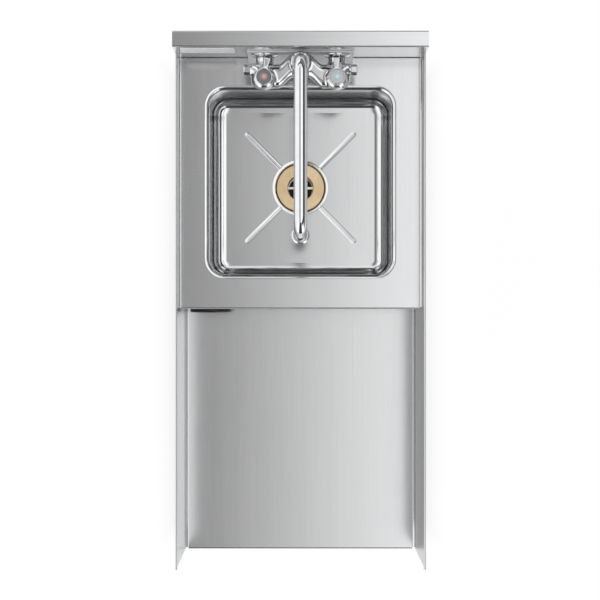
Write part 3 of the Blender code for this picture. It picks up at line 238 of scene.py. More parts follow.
def box_reach(angle, left, right, front, rear):
    """How far a ray from inside a plain rectangle runs to the side that it meets first."""
    across = np.cos(angle)
    along = np.sin(angle)
    width = np.where(across > 0, right, left) / np.maximum(np.abs(across), NEARLY_ZERO)
    depth = np.where(along > 0, rear, front) / np.maximum(np.abs(along), NEARLY_ZERO)
    return np.minimum(width, depth)


def ray_angles(count, corners):
    """Evenly spaced angles round a turn, and those of the corners, given from the rays' centre."""
    toward_corners = [math.atan2(y, x) % math.tau for x, y in corners]
    return np.unique(np.append(np.linspace(0, math.tau, count, endpoint=False), toward_corners))


def rays(reach, angle, centre, level, upright=False):
    """Points at centre plus reach times (cosine, sine): flat at a height, or upright at a place along Y."""
    across = centre[0] + reach * np.cos(angle)
    along = centre[1] + reach * np.sin(angle)
    level = np.broadcast_to(level, across.shape)
    return np.stack((across, level, along) if upright else (across, along, level), -1)


def ruled(x, path):
    """A row of points for each point (y, z) of a path, with a column for each place along X."""
    return np.stack(np.broadcast_arrays(x[None, :], path[:, :1], path[:, 1:]), -1)


# Surfaces

def surface(points, wrap_rows=False, wrap_columns=False):
    """A grid of points as vertices and quads; it may close on itself along rows or columns."""
    rows, columns = points.shape[:2]
    index = np.arange(rows * columns).reshape(rows, columns)
    if wrap_rows:
        index = np.vstack((index, index[:1]))
    if wrap_columns:
        index = np.hstack((index, index[:, :1]))
    quads = np.stack((index[:-1, :-1], index[:-1, 1:], index[1:, 1:], index[1:, :-1]), -1)
    return points.reshape(-1, 3), quads.reshape(-1, 4).tolist()


def facing(shell, toward):
    """The shell, turned over if the sum of its faces' normals points away from a direction."""
    points, faces = shell
    first, second, third = (np.array([face[k] for face in faces]) for k in range(3))
    normal = np.cross(points[second] - points[first], points[third] - points[first])
    if normal.sum(0) @ np.asarray(toward, float) < 0:
        faces = [face[::-1] for face in faces]
    return points, faces


def turned(profile, centre, axis="Z", steps=ROUND, closed=False):
    """A profile of (radius, height) points carried once round an axis.

    Point = centre + radius times (cosine of the angle sideways + its sine across) + height along the axis.
    """
    side, across, up = TURNING[axis]
    profile = np.asarray(profile, float)
    angle = np.linspace(0, math.tau, steps, endpoint=False)[None, :, None]
    radius = profile[:, 0][:, None, None]
    height = profile[:, 1][:, None, None]
    points = np.asarray(centre) + radius * (np.cos(angle) * side + np.sin(angle) * across) + height * up
    return surface(points, wrap_rows=closed, wrap_columns=True)


def prism(shape, axis, start, end):
    """A closed outline carried straight along an axis, with flat ends.

    Its points are (y, z) along X and (x, z) along Y.
    """
    column = "XYZ".index(axis)
    count = len(shape)
    rows = np.stack((np.insert(shape, column, start, axis=1), np.insert(shape, column, end, axis=1)))
    points, faces = surface(rows, wrap_columns=True)
    return points, faces + [list(range(count)), list(range(count, 2 * count))]


def swept_circle(place, turn, radius):
    """A round tube in the plane x = 0 along points (y, z) whose heading is turned from upright by an angle.

    Point = place + radius times (cosine sideways + sine along the heading's outer normal).
    """
    angle = np.linspace(0, math.tau, ROUND, endpoint=False)[None, :]
    radius = np.broadcast_to(radius, len(place))[:, None]
    out = radius * np.sin(angle)
    x = radius * np.cos(angle)
    y = place[:, 0][:, None] + out * np.cos(turn)[:, None]
    z = place[:, 1][:, None] + out * np.sin(turn)[:, None]
    return np.stack((x, y, z), -1)


def hexagon_nut(bore, outside, centre, axis):
    """A nut: a round bore's profile, and after it a hexagonal outside's, as one closed loop of rings.

    The outside's radius at an angle is its corner radius times the hexagon's reach: the cosine of 30 degrees
    over the cosine of the angle from the nearest flat's middle.
    """
    side, across, up = TURNING[axis]
    angle = np.linspace(0, math.tau, NUT_ROUND, endpoint=False)
    off_flat = np.mod(angle, math.pi / 3) - math.pi / 6
    reach = math.cos(math.pi / 6) / np.cos(off_flat)
    rows = []
    for radius, height, share in [(*point, 0) for point in bore] + [(*point, 1) for point in outside]:
        size = radius * (1 + share * (reach - 1))
        ring = size[:, None] * (np.cos(angle)[:, None] * side + np.sin(angle)[:, None] * across)
        rows.append(np.asarray(centre) + ring + height * up)
    return surface(np.stack(rows), wrap_rows=True, wrap_columns=True)


def ribbed_ring(profile, centre, grip, depth, count):
    """A turned ring whose outermost part carries grip flutes: there the radius drops by a raised cosine."""
    angle = np.linspace(0, math.tau, NUT_ROUND, endpoint=False)
    radius = profile[:, 0][:, None]
    flute = (0.5 + 0.5 * np.cos(count * angle)) ** 3 * depth
    radius = radius - np.where(radius > grip, flute[None, :], 0)
    return surface(rays(radius, angle, centre, profile[:, 1:]), wrap_rows=True, wrap_columns=True)


# Cast shapes, from distances

def round_box_distance(place, half, corner):
    """Distance to a box with round edges: to the box shrunk by the corner radius, less that radius."""
    over = np.abs(place) - (np.asarray(half) - corner)
    return np.linalg.norm(np.maximum(over, 0), axis=-1) + np.minimum(over.max(-1), 0) - corner


def rod_distance(place, start, end, radius, edge):
    """Distance to a round bar between two points, its end edges rounded."""
    start = np.asarray(start, float)
    line = np.asarray(end, float) - start
    length = np.linalg.norm(line)
    along = (place - start) @ (line / length)
    across = np.linalg.norm(place - start - along[..., None] * (line / length), axis=-1)
    over = np.stack((across - radius + edge, np.abs(along - length / 2) - length / 2 + edge), -1)
    return np.linalg.norm(np.maximum(over, 0), axis=-1) + np.minimum(over.max(-1), 0) - edge


def melted(first, second, width):
    """Union of two distances with a fillet: the lower one, less a quarter of the width where they agree."""
    share = np.maximum(width - np.abs(first - second), 0) / width
    return np.minimum(first, second) - share * share * width / 4


def carved(first, second, width):
    """The first distance with the second shape cut out of it, the cut's edge rounded."""
    return -melted(-first, second, width)


def trimmed(first, second, width):
    """What two shapes have in common, the edge between them rounded."""
    return -melted(-first, -second, width)


def cast_surface(distance, low, high, step):
    """The closed surface where a distance is zero.

    A grid of cells covers the space. Each cell that the surface crosses holds one vertex, which moves onto
    the surface along the distance's slope, and each grid edge that the surface crosses makes a quad of the
    four cells round it.
    """
    axes = [np.arange(a, b + step, step) for a, b in zip(low, high)]
    corners = np.stack(np.meshgrid(*axes, indexing="ij"), -1)
    inside = distance(corners) < 0
    count = np.zeros(tuple(size - 1 for size in inside.shape), int)
    for i in (0, 1):
        for j in (0, 1):
            for k in (0, 1):
                count += inside[i:, j:, k:][: count.shape[0], : count.shape[1], : count.shape[2]]
    active = (count > 0) & (count < 8)
    index = np.full(active.shape, -1)
    index[active] = np.arange(active.sum())
    points = corners[:-1, :-1, :-1][active] + step / 2
    reach = step * 1e-2
    for _ in range(6):
        value = distance(points)
        rise = [distance(points + reach * axis) - distance(points - reach * axis) for axis in np.eye(3)]
        slope = np.stack(rise, -1) / (2 * reach)
        steep = np.maximum((slope**2).sum(-1), 0.2)
        points = points + np.clip(-value / steep, -step, step)[:, None] * slope
    quads = []
    for axis in range(3):
        near = np.moveaxis(inside, axis, 0)
        cells = np.moveaxis(index, axis, 0)
        start = near[:-1, 1:-1, 1:-1]
        end = near[1:, 1:-1, 1:-1]
        around = (cells[:, :-1, :-1], cells[:, 1:, :-1], cells[:, 1:, 1:], cells[:, :-1, 1:])
        for crossed, order in ((start & ~end, 1), (~start & end, -1)):
            order = order if axis != 1 else -order
            quads += np.stack([cell[crossed] for cell in around], -1)[:, ::order].tolist()
    return points, quads


# Shader maths

class Value:
    """A number or colour that varies over a surface: a node's output, on which plain sums may be written."""

    def __init__(self, finish, socket):
        self.finish = finish
        self.socket = socket

    def math(self, operation, first, second):
        return self.finish.node("ShaderNodeMath", {"operation": operation}, {0: first, 1: second})

    def __add__(self, other):
        return self.math("ADD", self, other)

    def __radd__(self, other):
        return self.math("ADD", other, self)

    def __sub__(self, other):
        return self.math("SUBTRACT", self, other)

    def __rsub__(self, other):
        return self.math("SUBTRACT", other, self)

    def __mul__(self, other):
        return self.math("MULTIPLY", self, other)

    def __rmul__(self, other):
        return self.math("MULTIPLY", other, self)

    def __truediv__(self, other):
        return self.math("DIVIDE", self, other)

    def __pow__(self, other):
        return self.math("POWER", self, other)

    def lower(self, other):
        return self.math("MINIMUM", self, other)

    def higher(self, other):
        return self.math("MAXIMUM", self, other)

    def ease(self, start, end):
        """Goes smoothly from 0 to 1 as the value goes from start to end, and is flat outside."""
        settings = {"interpolation_type": "SMOOTHSTEP"}
        return self.finish.node("ShaderNodeMapRange", settings, {0: self, 1: start, 2: end})


class Finish:
    """A node tree in the making: a material of one record slot, or the studio's world."""

    def __init__(self, name, slot=None, owner=None):
        self.slot = slot
        self.owner = owner or bpy.data.materials.new(name)
        self.owner.use_nodes = True
        self.tree = self.owner.node_tree

    def node(self, kind, settings=None, inputs=None, output=0):
        """Adds a node: its settings first, then the values or links of its sockets; gives one output."""
        made = self.tree.nodes.new(kind)
        for word, value in (settings or {}).items():
            setattr(made, word, value)
        for word, value in (inputs or {}).items():
            self.feed(made.inputs[word], value)
        return Value(self, made.outputs[output])

    def feed(self, socket, value):
        if isinstance(value, Value):
            self.tree.links.new(value.socket, socket)
        else:
            socket.default_value = value

    def place(self, centre=(0, 0, 0), scale=(1, 1, 1)):
        """Object coordinates, measured from a centre and stretched by a factor along each axis."""
        own = self.node("ShaderNodeTexCoord", output="Object")
        moved = self.node("ShaderNodeVectorMath", {"operation": "SUBTRACT"}, {0: own, 1: centre})
        return self.node("ShaderNodeVectorMath", {"operation": "MULTIPLY"}, {0: moved, 1: scale})

    def noise(self, place, detail=2.0, roughness=0.5, distortion=0.0):
        inputs = {"Vector": place, "Scale": 1.0, "Detail": detail, "Roughness": roughness}
        inputs["Distortion"] = distortion
        return self.node("ShaderNodeTexNoise", None, inputs)

    def grain(self, scale, *character):
        """Noise that is equally fine along all axes."""
        return self.noise(self.place(scale=(scale,) * 3), *character)

    def turning_marks(self, radius, fineness, height=0.0):
        """Noise in rings round an axis, as a lathe leaves them."""
        place = self.node("ShaderNodeCombineXYZ", None, {0: radius * fineness, 1: height})
        return self.noise(place)

    def parts(self, place):
        """The three numbers of a place."""
        split = self.tree.nodes.new("ShaderNodeSeparateXYZ")
        self.feed(split.inputs[0], place)
        return [Value(self, socket) for socket in split.outputs]

    def blend(self, share, first, second):
        """A colour from the first to the second by a share."""
        inputs = {0: share, 6: (*first, 1) if isinstance(first, tuple) else first}
        inputs[7] = (*second, 1) if isinstance(second, tuple) else second
        return self.node("ShaderNodeMix", {"data_type": "RGBA"}, inputs, output=2)

    def bump(self, height, depth):
        return self.node("ShaderNodeBump", None, {"Height": height, "Distance": depth})

    def dress(self, **sockets):
        """Feeds the shader's own sockets, named with underscores for spaces."""
        shader = self.tree.nodes["Principled BSDF"]
        for word, value in sockets.items():
            socket = shader.inputs[word.replace("_", " ").title()]
            self.feed(socket, (*value, 1) if isinstance(value, tuple) else value)
        return self


def grey(level):
    return (level, level, level)


def brushed_steel(name, along, tone=0.70, roughness=0.15, metallic=1.0, slot="stainless"):
    """Stainless sheet: hair lines along its grain, faint broad bands across it and a few soft smudges."""
    finish = Finish(name, slot)

    def streaks(fine, long, *character):
        scale = tuple(long if axis == along else fine for axis in "XYZ")
        return finish.noise(finish.place(scale=scale), *character)

    hair = streaks(2400.0, 22.0, 3.0, 0.6)
    thread = streaks(420.0, 5.0)
    band = streaks(38.0, 1.3, 1.0)
    smudge = finish.grain(11.0, 4.0, 0.55, 0.6)
    lines = hair * 0.5 + thread * 0.3 + band * 0.2
    dark = tuple(tone * part for part in (0.90, 0.905, 0.92))
    light = tuple(tone * part for part in (1.095, 1.10, 1.105))
    return finish.dress(
        base_color=finish.blend(lines, dark, light),
        roughness=roughness - 0.05 + hair * 0.05 + band * 0.02 + smudge * 0.03,
        metallic=metallic,
        normal=finish.bump(hair * 0.7 + thread * 0.3, 0.004 * MM),
    )


def polished_chrome():
    """Bright plate over a casting: nearly a mirror, with faint haze and the softest waviness."""
    finish = Finish("polished_chrome", "chrome")
    haze = finish.grain(65.0, 4.0, 0.6)
    wave = finish.grain(30.0, 1.0)
    clean = (0.70, 0.705, 0.715)
    hazy = tuple(part * 0.95 for part in clean)
    return finish.dress(
        base_color=finish.blend(haze.ease(0.35, 0.7), clean, hazy),
        roughness=haze * 0.05 + 0.03,
        metallic=1.0,
        normal=finish.bump(wave, 0.01 * MM),
    )


def satin_brass(centre):
    """Drain brass under a thin satin coat: turning marks round the drain's axis and a warmer tint in patches.

    Within the throat's radius, where only the cross shows, it is nearly white.
    """
    finish = Finish("satin_brass", "brass")
    x, y, z = finish.parts(finish.place(centre))
    radius = (x * x + y * y) ** 0.5
    marks = finish.turning_marks(radius, 2600.0, z * 300.0)
    patch = finish.grain(38.0, 4.0, 0.6)
    face = finish.blend(patch.ease(0.3, 0.7), (0.82, 0.62, 0.375), (0.92, 0.715, 0.46))
    cross = finish.blend(patch, (0.88, 0.82, 0.70), (0.95, 0.90, 0.80))
    in_throat = radius.ease(DRAIN_THROAT - 0.05 * MM, DRAIN_THROAT - 0.3 * MM)
    return finish.dress(
        base_color=finish.blend(in_throat, face, cross),
        roughness=marks * 0.12 + 0.30,
        metallic=0.85,
        normal=finish.bump(marks, 0.004 * MM),
    )


def moulded(name, slot, colour, lighter, roughness, grain=900.0, metallic=0.0):
    """Plastic, rubber, enamel or old brass: a fine pebbled skin, slightly uneven in colour and gloss."""
    finish = Finish(name, slot)
    pebble = finish.grain(grain)
    cloud = finish.grain(45.0, 4.0)
    return finish.dress(
        base_color=finish.blend(cloud, colour, lighter),
        roughness=pebble * 0.12 + cloud * 0.08 + (roughness - 0.1),
        metallic=metallic,
        normal=finish.bump(pebble, 0.012 * MM),
    )


def index_insert(name, handle_x, core, core_highlight, rim, rim_bright):
    """An index button: a coloured core with a painted highlight that brightens it to its middle, in a plain
    rim with turning marks.
    """
    finish = Finish(name, name)
    x, y, _ = finish.parts(finish.place((handle_x, HANDLE_Y, 0)))
    radius = (x * x + y * y) ** 0.5
    marks = finish.turning_marks(radius, 3000.0)
    cloud = finish.grain(260.0, 3.0, 0.6)
    # painted highlight: the core's colour is painted brighter towards its middle, where its dome catches the
    # light
    painted_highlight = radius.ease(3.4 * MM, 0.6 * MM)
    inner = finish.blend(painted_highlight * 0.7 + cloud * 0.3, core, core_highlight)
    outer = finish.blend(marks, rim, rim_bright)
    share = radius.ease(INDEX_CORE_RADIUS - 0.35 * MM, INDEX_CORE_RADIUS + 0.25 * MM)
    return finish.dress(
        base_color=finish.blend(share, inner, outer),
        roughness=marks * 0.1 + 0.22,
        metallic=0.0,
        coat_weight=0.4,
    )


# Pieces

BODY_OF = {}
for word, members in frame["record"]["behaviour"]["bodies"].items():
    BODY_OF.update(dict.fromkeys(members, word))


def thicken(made, wall):
    """Gives an open sheet its wall behind its faces, and keeps the result as the piece's own mesh."""
    thickness = made.modifiers.new("wall", "SOLIDIFY")
    thickness.thickness = wall
    thickness.offset = -1
    thickness.use_even_offset = True
    whole = bpy.data.meshes.new_from_object(made.evaluated_get(bpy.context.evaluated_depsgraph_get()))
    made.modifiers.clear()
    made.data = whole


def piece(node, shells, finish, wall=0.0, cast=False):
    """Makes one object of shells, in place of a frame node: seams and poles are merged, and faces point out.

    A wall is for an open sheet that is already wound outwards. Flat faces keep their own shading where they
    run into a bend, because each corner's normal is weighted by the area of the faces round it.
    """
    vertices = []
    faces = []
    for points, polygons in shells:
        offset = sum(len(part) for part in vertices)
        vertices.append(points)
        faces += [[corner + offset for corner in polygon] for polygon in polygons]
    mesh = bpy.data.meshes.new(node + "_shape")
    mesh.from_pydata(np.vstack(vertices).tolist(), [], faces)
    if not cast:
        shape = bmesh.new()
        shape.from_mesh(mesh)
        bmesh.ops.remove_doubles(shape, verts=shape.verts, dist=MERGE_DISTANCE)
        if not wall:
            bmesh.ops.recalc_face_normals(shape, faces=shape.faces)
        shape.to_mesh(mesh)
        shape.free()
    mesh.materials.append(finish.owner)
    made = bpy.data.objects.new(node + "_shape", mesh)
    bpy.context.scene.collection.objects.link(made)
    if wall:
        thicken(made, wall)
    made.data.shade_smooth()
    if not cast:
        made.data.set_sharp_from_angle(angle=SHARP_ANGLE)
        shading = made.modifiers.new("even_shading", "WEIGHTED_NORMAL")
        shading.keep_sharp = True
    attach(made, BODY_OF[node])
    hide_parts(node)


def turned_piece(node, corners, rounds, place, finish, axis="Z", arcs=6, steps=ROUND, closed=True):
    """A piece turned from an outline of (radius, height) whose corners are rounded."""
    profile = softened(corners, rounds, arcs, closed)
    piece(node, [turned(profile, place, axis, steps, closed)], finish)


def carry_over(node, finish):
    """Keeps a frame node as it is and gives it a finish."""
    for slot in frame["nodes"][node].material_slots:
        slot.material = finish.owner


# Sheet metal pieces

def bent_edges(front_x, side_y, height, front_y, lip, cove):
    """The shells round a flat sheet: its front bent down to a lip, and its sides coved up.

    The bend's rows are a quarter circle from flat to upright, and the cove's from flat to upright the other
    way; their columns are the given places along each edge, so that they meet the flat point for point.
    """
    drop = arc((front_y + BEND_RADIUS, height - BEND_RADIUS), BEND_RADIUS, 90, 180)
    drop = np.vstack((drop, (front_y, height - lip)))
    shells = [facing(surface(ruled(front_x, drop)), (0, -1, 1))]
    rise = arc((front_x.max(), height + cove), cove, -90, 0)
    for side in (-1, 1):
        rows = np.stack(np.broadcast_arrays(side * rise[:, :1], side_y[None, :], rise[:, 1:]), -1)
        shells.append(facing(surface(rows), (-side, 0, 1)))
    return shells


def make_deck(finish):
    """The deck: rays from the sink's middle carry its round-cornered opening out to the sheet's edges."""
    low, high = box("deck")
    sink_low, sink_high = box("sink_bowl")
    height = sink_high[2]
    centre_y = (sink_low[1] + sink_high[1]) / 2
    flat_x = high[0] - SHEET - DECK_COVE
    front = low[1] + BEND_RADIUS
    rear = high[1] - DECK_REAR_BEND
    angle = ray_angles(480, [(x, y - centre_y) for x in (-flat_x, flat_x) for y in (front, rear)])
    half_depth = (sink_high[1] - sink_low[1]) / 2 + GAP
    hole = round_box_reach(angle, sink_high[0] + GAP, half_depth, SINK_CORNER + GAP)
    edge = box_reach(angle, flat_x, flat_x, centre_y - front, rear - centre_y)
    points = rays(np.stack((edge, hole)), angle, (0, centre_y), height)
    flat = facing(surface(points, wrap_columns=True), UP)
    edge_x = points[0, :, 0]
    edge_y = points[0, :, 1]
    front_x = np.sort(edge_x[np.abs(edge_y - front) < MERGE_DISTANCE])
    rear_x = np.sort(edge_x[np.abs(edge_y - rear) < MERGE_DISTANCE])
    side_y = np.append(np.sort(edge_y[np.abs(edge_x - flat_x) < MERGE_DISTANCE]), high[1])
    edges = bent_edges(front_x, side_y, height, low[1], height - low[2], DECK_COVE)
    drop = arc((rear, height - DECK_REAR_BEND), DECK_REAR_BEND, 90, 0, 6)
    drop = np.vstack((drop, drop[-1:] - (0, DECK_REAR_BEND)))
    edges.append(facing(surface(ruled(rear_x, drop)), (0, 1, 1)))
    piece("deck", [flat] + edges, finish, wall=SHEET)


def make_shelf(finish):
    """The recessed shelf: a flat whose front bends down and whose sides cove up."""
    low, high = box("blender_shelf")
    deck_front = box("deck")[0][1]
    height = box("riser_panel")[0][2] - GAP
    flat_x = high[0] - SHEET - SHELF_COVE
    front_x = np.array((-flat_x, flat_x))
    side_y = np.array((low[1] + BEND_RADIUS, deck_front - GAP))
    x, y = np.meshgrid(front_x, np.append(side_y, high[1]))
    flat = facing(surface(np.stack((x, y, np.full_like(x, height)), -1)), UP)
    edges = bent_edges(front_x, side_y, height, low[1], height - low[2], SHELF_COVE)
    piece("blender_shelf", [flat] + edges, finish, wall=SHEET)


def bowl_angles():
    """Angles round the bowl, close together near the four diagonals, where the grooves run."""
    share = np.linspace(-1, 1, 73)
    off_diagonal = math.pi / 4 * np.sign(share) * (0.10 * np.abs(share) + 0.90 * np.abs(share) ** 3.2)
    return np.concatenate([math.pi / 4 + math.pi / 2 * quarter + off_diagonal[:-1] for quarter in range(4)])


def make_sink(finish):
    """The pressed bowl, as rays from the drain's axis.

    Each row is one ring. Up to the floor's edge the reach is a radius, then it eases to the rounded
    rectangle that the walls follow, and on the walls and the roll the rectangle's inset changes along arcs.
    A drain groove is pressed in where the distance to its line on the floor is small: its depth is the cube
    of one less that distance squared. A sloping rim leads to the step down to the drain's seat.
    """
    low, high = box("sink_bowl")
    top = high[2]
    centre_y = (low[1] + high[1]) / 2
    half_depth = (high[1] - low[1]) / 2
    floor = top - SINK_DEPTH
    hole_radius = box("drain_gasket")[1][0] - GASKET_WIDTH
    seat = low[2] + SHEET
    angle = bowl_angles()

    wall_foot = floor + SINK_FILLET
    fillet = arc((SINK_ROLL + SINK_FILLET, wall_foot), SINK_FILLET, 270, 180, 14)
    roll = arc((0, top - SINK_ROLL), SINK_ROLL, 0, 90, 10)
    wall = np.stack((np.full(3, SINK_ROLL), np.linspace(wall_foot, top - SINK_ROLL, 5)[1:-1]), -1)
    upper = np.vstack((fillet, wall, roll))
    upper_reach = np.stack(
        [round_box_reach(angle, high[0] - i, half_depth - i, SINK_CORNER - i) for i in upper[:, 0]]
    )
    upper_z = np.broadcast_to(upper[:, 1:], upper_reach.shape)

    share = np.linspace(0, 1, 84)[1:-1, None] ** 1.15
    start = DRAIN_SEAT_RADIUS + DRAIN_STEP_WIDTH + DRAIN_RIM_WIDTH
    floor_reach = start + (upper_reach[0] - start) * share
    off = np.mod(angle, math.pi / 2) - math.pi / 4
    across = floor_reach * np.sin(off)
    along = floor_reach * np.cos(off)
    beyond = np.maximum(np.maximum(along - GROOVE_END, GROOVE_START - along), 0)
    off_groove = np.clip(np.hypot(across, beyond) / GROOVE_HALF_WIDTH, 0, 1)
    floor_z = floor - FLOOR_FALL * (1 - share) - GROOVE_DEPTH * (1 - off_groove**2) ** 3

    rim_z = floor - FLOOR_FALL
    rim = [(start, rim_z), (start - DRAIN_RIM_WIDTH, rim_z - DRAIN_RIM_FALL)]
    rim += [(DRAIN_SEAT_RADIUS, seat + DRAIN_STEP_FOOT), (DRAIN_SEAT_RADIUS - DRAIN_STEP_FOOT, seat)]
    inner = softened(rim + [(hole_radius, seat)], (0, DRAIN_STEP_ROUND, 0, 0, 0))[::-1]
    inner_reach = np.broadcast_to(inner[:, :1], (len(inner), len(angle)))
    inner_z = np.broadcast_to(inner[:, 1:], inner_reach.shape)

    reach = np.vstack((inner_reach, floor_reach, upper_reach))
    points = rays(reach, angle, (0, centre_y), np.vstack((inner_z, floor_z, upper_z)))
    piece("sink_bowl", [facing(surface(points, wrap_columns=True), UP)], finish, wall=SHEET)


def make_backsplash(finish):
    """The raised box at the rear: one bent line of sheet along X, with closed ends."""
    low, high = box("backsplash")
    corners = [(low[1], low[2]), (low[1], high[2]), (high[1], high[2]), (high[1], high[2] - SPLASH_BACK_LIP)]
    path = softened(corners, BEND_RADIUS, 8)
    x = np.array((low[0], high[0]))
    shells = [facing(surface(ruled(x, path)), (0, -1, 0))]
    end = np.vstack((path, (high[1], low[2])))
    for side in (0, 1):
        points = np.insert(end, 0, x[side], axis=1)
        shells.append(facing((points, [list(range(len(points)))]), (2 * side - 1, 0, 0)))
    piece("backsplash", shells, finish, wall=SHEET)


def make_side_panel(node, side, finish):
    """A flat side whose top is folded over inside and whose bottom is turned in."""
    low, high = box(node)
    bottom, top = low[2], high[2]
    outer = max(abs(low[0]), abs(high[0]))
    inner = outer - SHEET
    hem = outer - HEM_THICKNESS
    hem_z = top - HEM_HEIGHT
    flange = outer - PANEL_FLANGE
    notch = inner - 0.1 * MM
    corners = [
        (outer, bottom), (outer, top), (hem, top), (hem, hem_z), (notch, hem_z), (notch, hem_z + 1.2 * MM),
        (inner, hem_z + 1.4 * MM), (inner, bottom + SHEET), (flange, bottom + SHEET), (flange, bottom),
    ]
    hem_round = HEM_THICKNESS / 2 - MERGE_DISTANCE
    rounds = (PANEL_BEND, hem_round, hem_round, EDGE, 0, 0, 0, PANEL_BEND - SHEET, EDGE, EDGE)
    shape = softened(corners, rounds, 8, closed=True) * (side, 1)
    piece(node, [prism(shape, "Y", low[1], high[1])], finish)


def make_riser(steel, plastic):
    """The upright sheet between deck and shelf, and the grommet in its cord hole.

    Rays run from the hole's centre. The sheet's front and back are rings between the hole and the sheet's
    edge, and two walls join them.
    """
    low, high = box("riser_panel")
    grommet_low, grommet_high = box("cord_grommet")
    x, _, z = middle("cord_grommet")
    angle = ray_angles(FINE_ROUND, [(a - x, b - z) for a in (low[0], high[0]) for b in (low[2], high[2])])
    edge = box_reach(angle, x - low[0], high[0] - x, z - low[2], high[2] - z)
    hole = np.full_like(angle, GROMMET_NECK + GAP)
    loop = ((edge, low[1]), (edge, high[1]), (hole, high[1]), (hole, low[1]))
    rows = [rays(reach, angle, (x, z), y, upright=True) for reach, y in loop]
    piece("riser_panel", [surface(np.stack(rows), wrap_rows=True, wrap_columns=True)], steel)

    outer = half_width("cord_grommet")
    back = grommet_low[1] - grommet_high[1]
    flange = grommet_low[1] - low[1] + GAP
    corners = [(GROMMET_BORE, back), (GROMMET_NECK, back), (GROMMET_NECK, flange), (outer, flange)]
    corners += [(outer, 0), (GROMMET_BORE, 0)]
    place = (x, grommet_low[1], z)
    rounds = mm(1.0, 0.8, 0.3, 0.8, 3.2, 3.0)
    turned_piece("cord_grommet", corners, rounds, place, plastic, "-Y", 8, FINE_ROUND)


def make_blank_plate(finish):
    """The blank plate: rounded rectangles stacked from back to front, with a thin line pressed in."""
    low, high = box("blank_plate")
    x, _, z = middle("blank_plate")
    half = (high - low) / 2
    depth = high[1] - low[1]
    angle = ray_angles(160, [(half[0], half[2])])
    rows = []
    stack = ((0, 0), (0, 0.7), (0.25, 1), (2.4, 1), (2.6, 0.8), (3.0, 0.8), (3.2, 1), (6.0, 1))
    for inset, share in stack:
        inset *= MM
        corner = max(3.0 * MM - inset / 2, 1.0 * MM)
        reach = round_box_reach(angle, half[0] - inset, half[2] - inset, corner)
        rows.append(rays(reach, angle, (x, z), high[1] - share * depth, upright=True))
    points, faces = surface(np.stack(rows), wrap_columns=True)
    count = len(angle)
    total = len(points)
    faces += [list(range(count)), list(range(total - count, total))]
    piece("blank_plate", [(points, faces)], finish)


def make_bracket(finish):
    """The faucet's plate: a bent line of sheet along X whose foot kicks out, with a gusset at each end."""
    low, high = box("faucet_bracket")
    front = high[1] - PLATE
    kick_z = low[2] + 33.7 * MM
    path = softened([(low[1], low[2]), (front, kick_z), (front, high[2])], 4.0 * MM, 8)
    shells = [prism(thick_line(path, PLATE), "X", low[0], high[0])]
    gusset = [(low[1] + GAP, low[2]), (front + GAP, kick_z), (high[1], kick_z), (high[1], low[2])]
    gusset = softened(gusset, mm(0, 2.0, 0, 0), 6, closed=True)
    for start, end in ((low[0], low[0] + PLATE), (high[0] - PLATE, high[0])):
        shells.append(prism(gusset, "X", start, end))
    piece("faucet_bracket", shells, finish)


# Faucet: the casting

FACE_Y = box("backsplash")[0][1]
DECK_Z = box("sink_bowl")[1][2]
INLET_X = middle("cold_wall_flange")[0]
INLET_Z = middle("cold_wall_flange")[2]
SWIVEL_Y = middle("spout_nut")[1]
HANDLE_Y = middle("cold_bonnet")[1]
BODY_Z = DECK_Z + 70.0 * MM
BODY_VALVE_OFFSET = 35.0 * MM
BODY_CENTRE_OFFSET = 19.6 * MM
BODY_HALF_LENGTH = INLET_X + 18.9 * MM
BODY_HALF_DEPTH = 16.5 * MM
BODY_HALF_HEIGHT = 14.0 * MM
BODY_CORNER = 10.5 * MM
PLUG_Y = FACE_Y - 25.5 * MM
PLUG_SEAT = BODY_HALF_LENGTH + 1.6 * MM
SWIVEL_BORE = 9.85 * MM
BONNET_BASE = DECK_Z + 93.3 * MM
HANDLE_BASE = DECK_Z + 106.8 * MM
LEVER_END = 29.5 * MM
LEVER_SLANT_START = 25.6 * MM
LEVER_SLANT = math.radians(30.0)
INDEX_CORE_RADIUS = 5.1 * MM


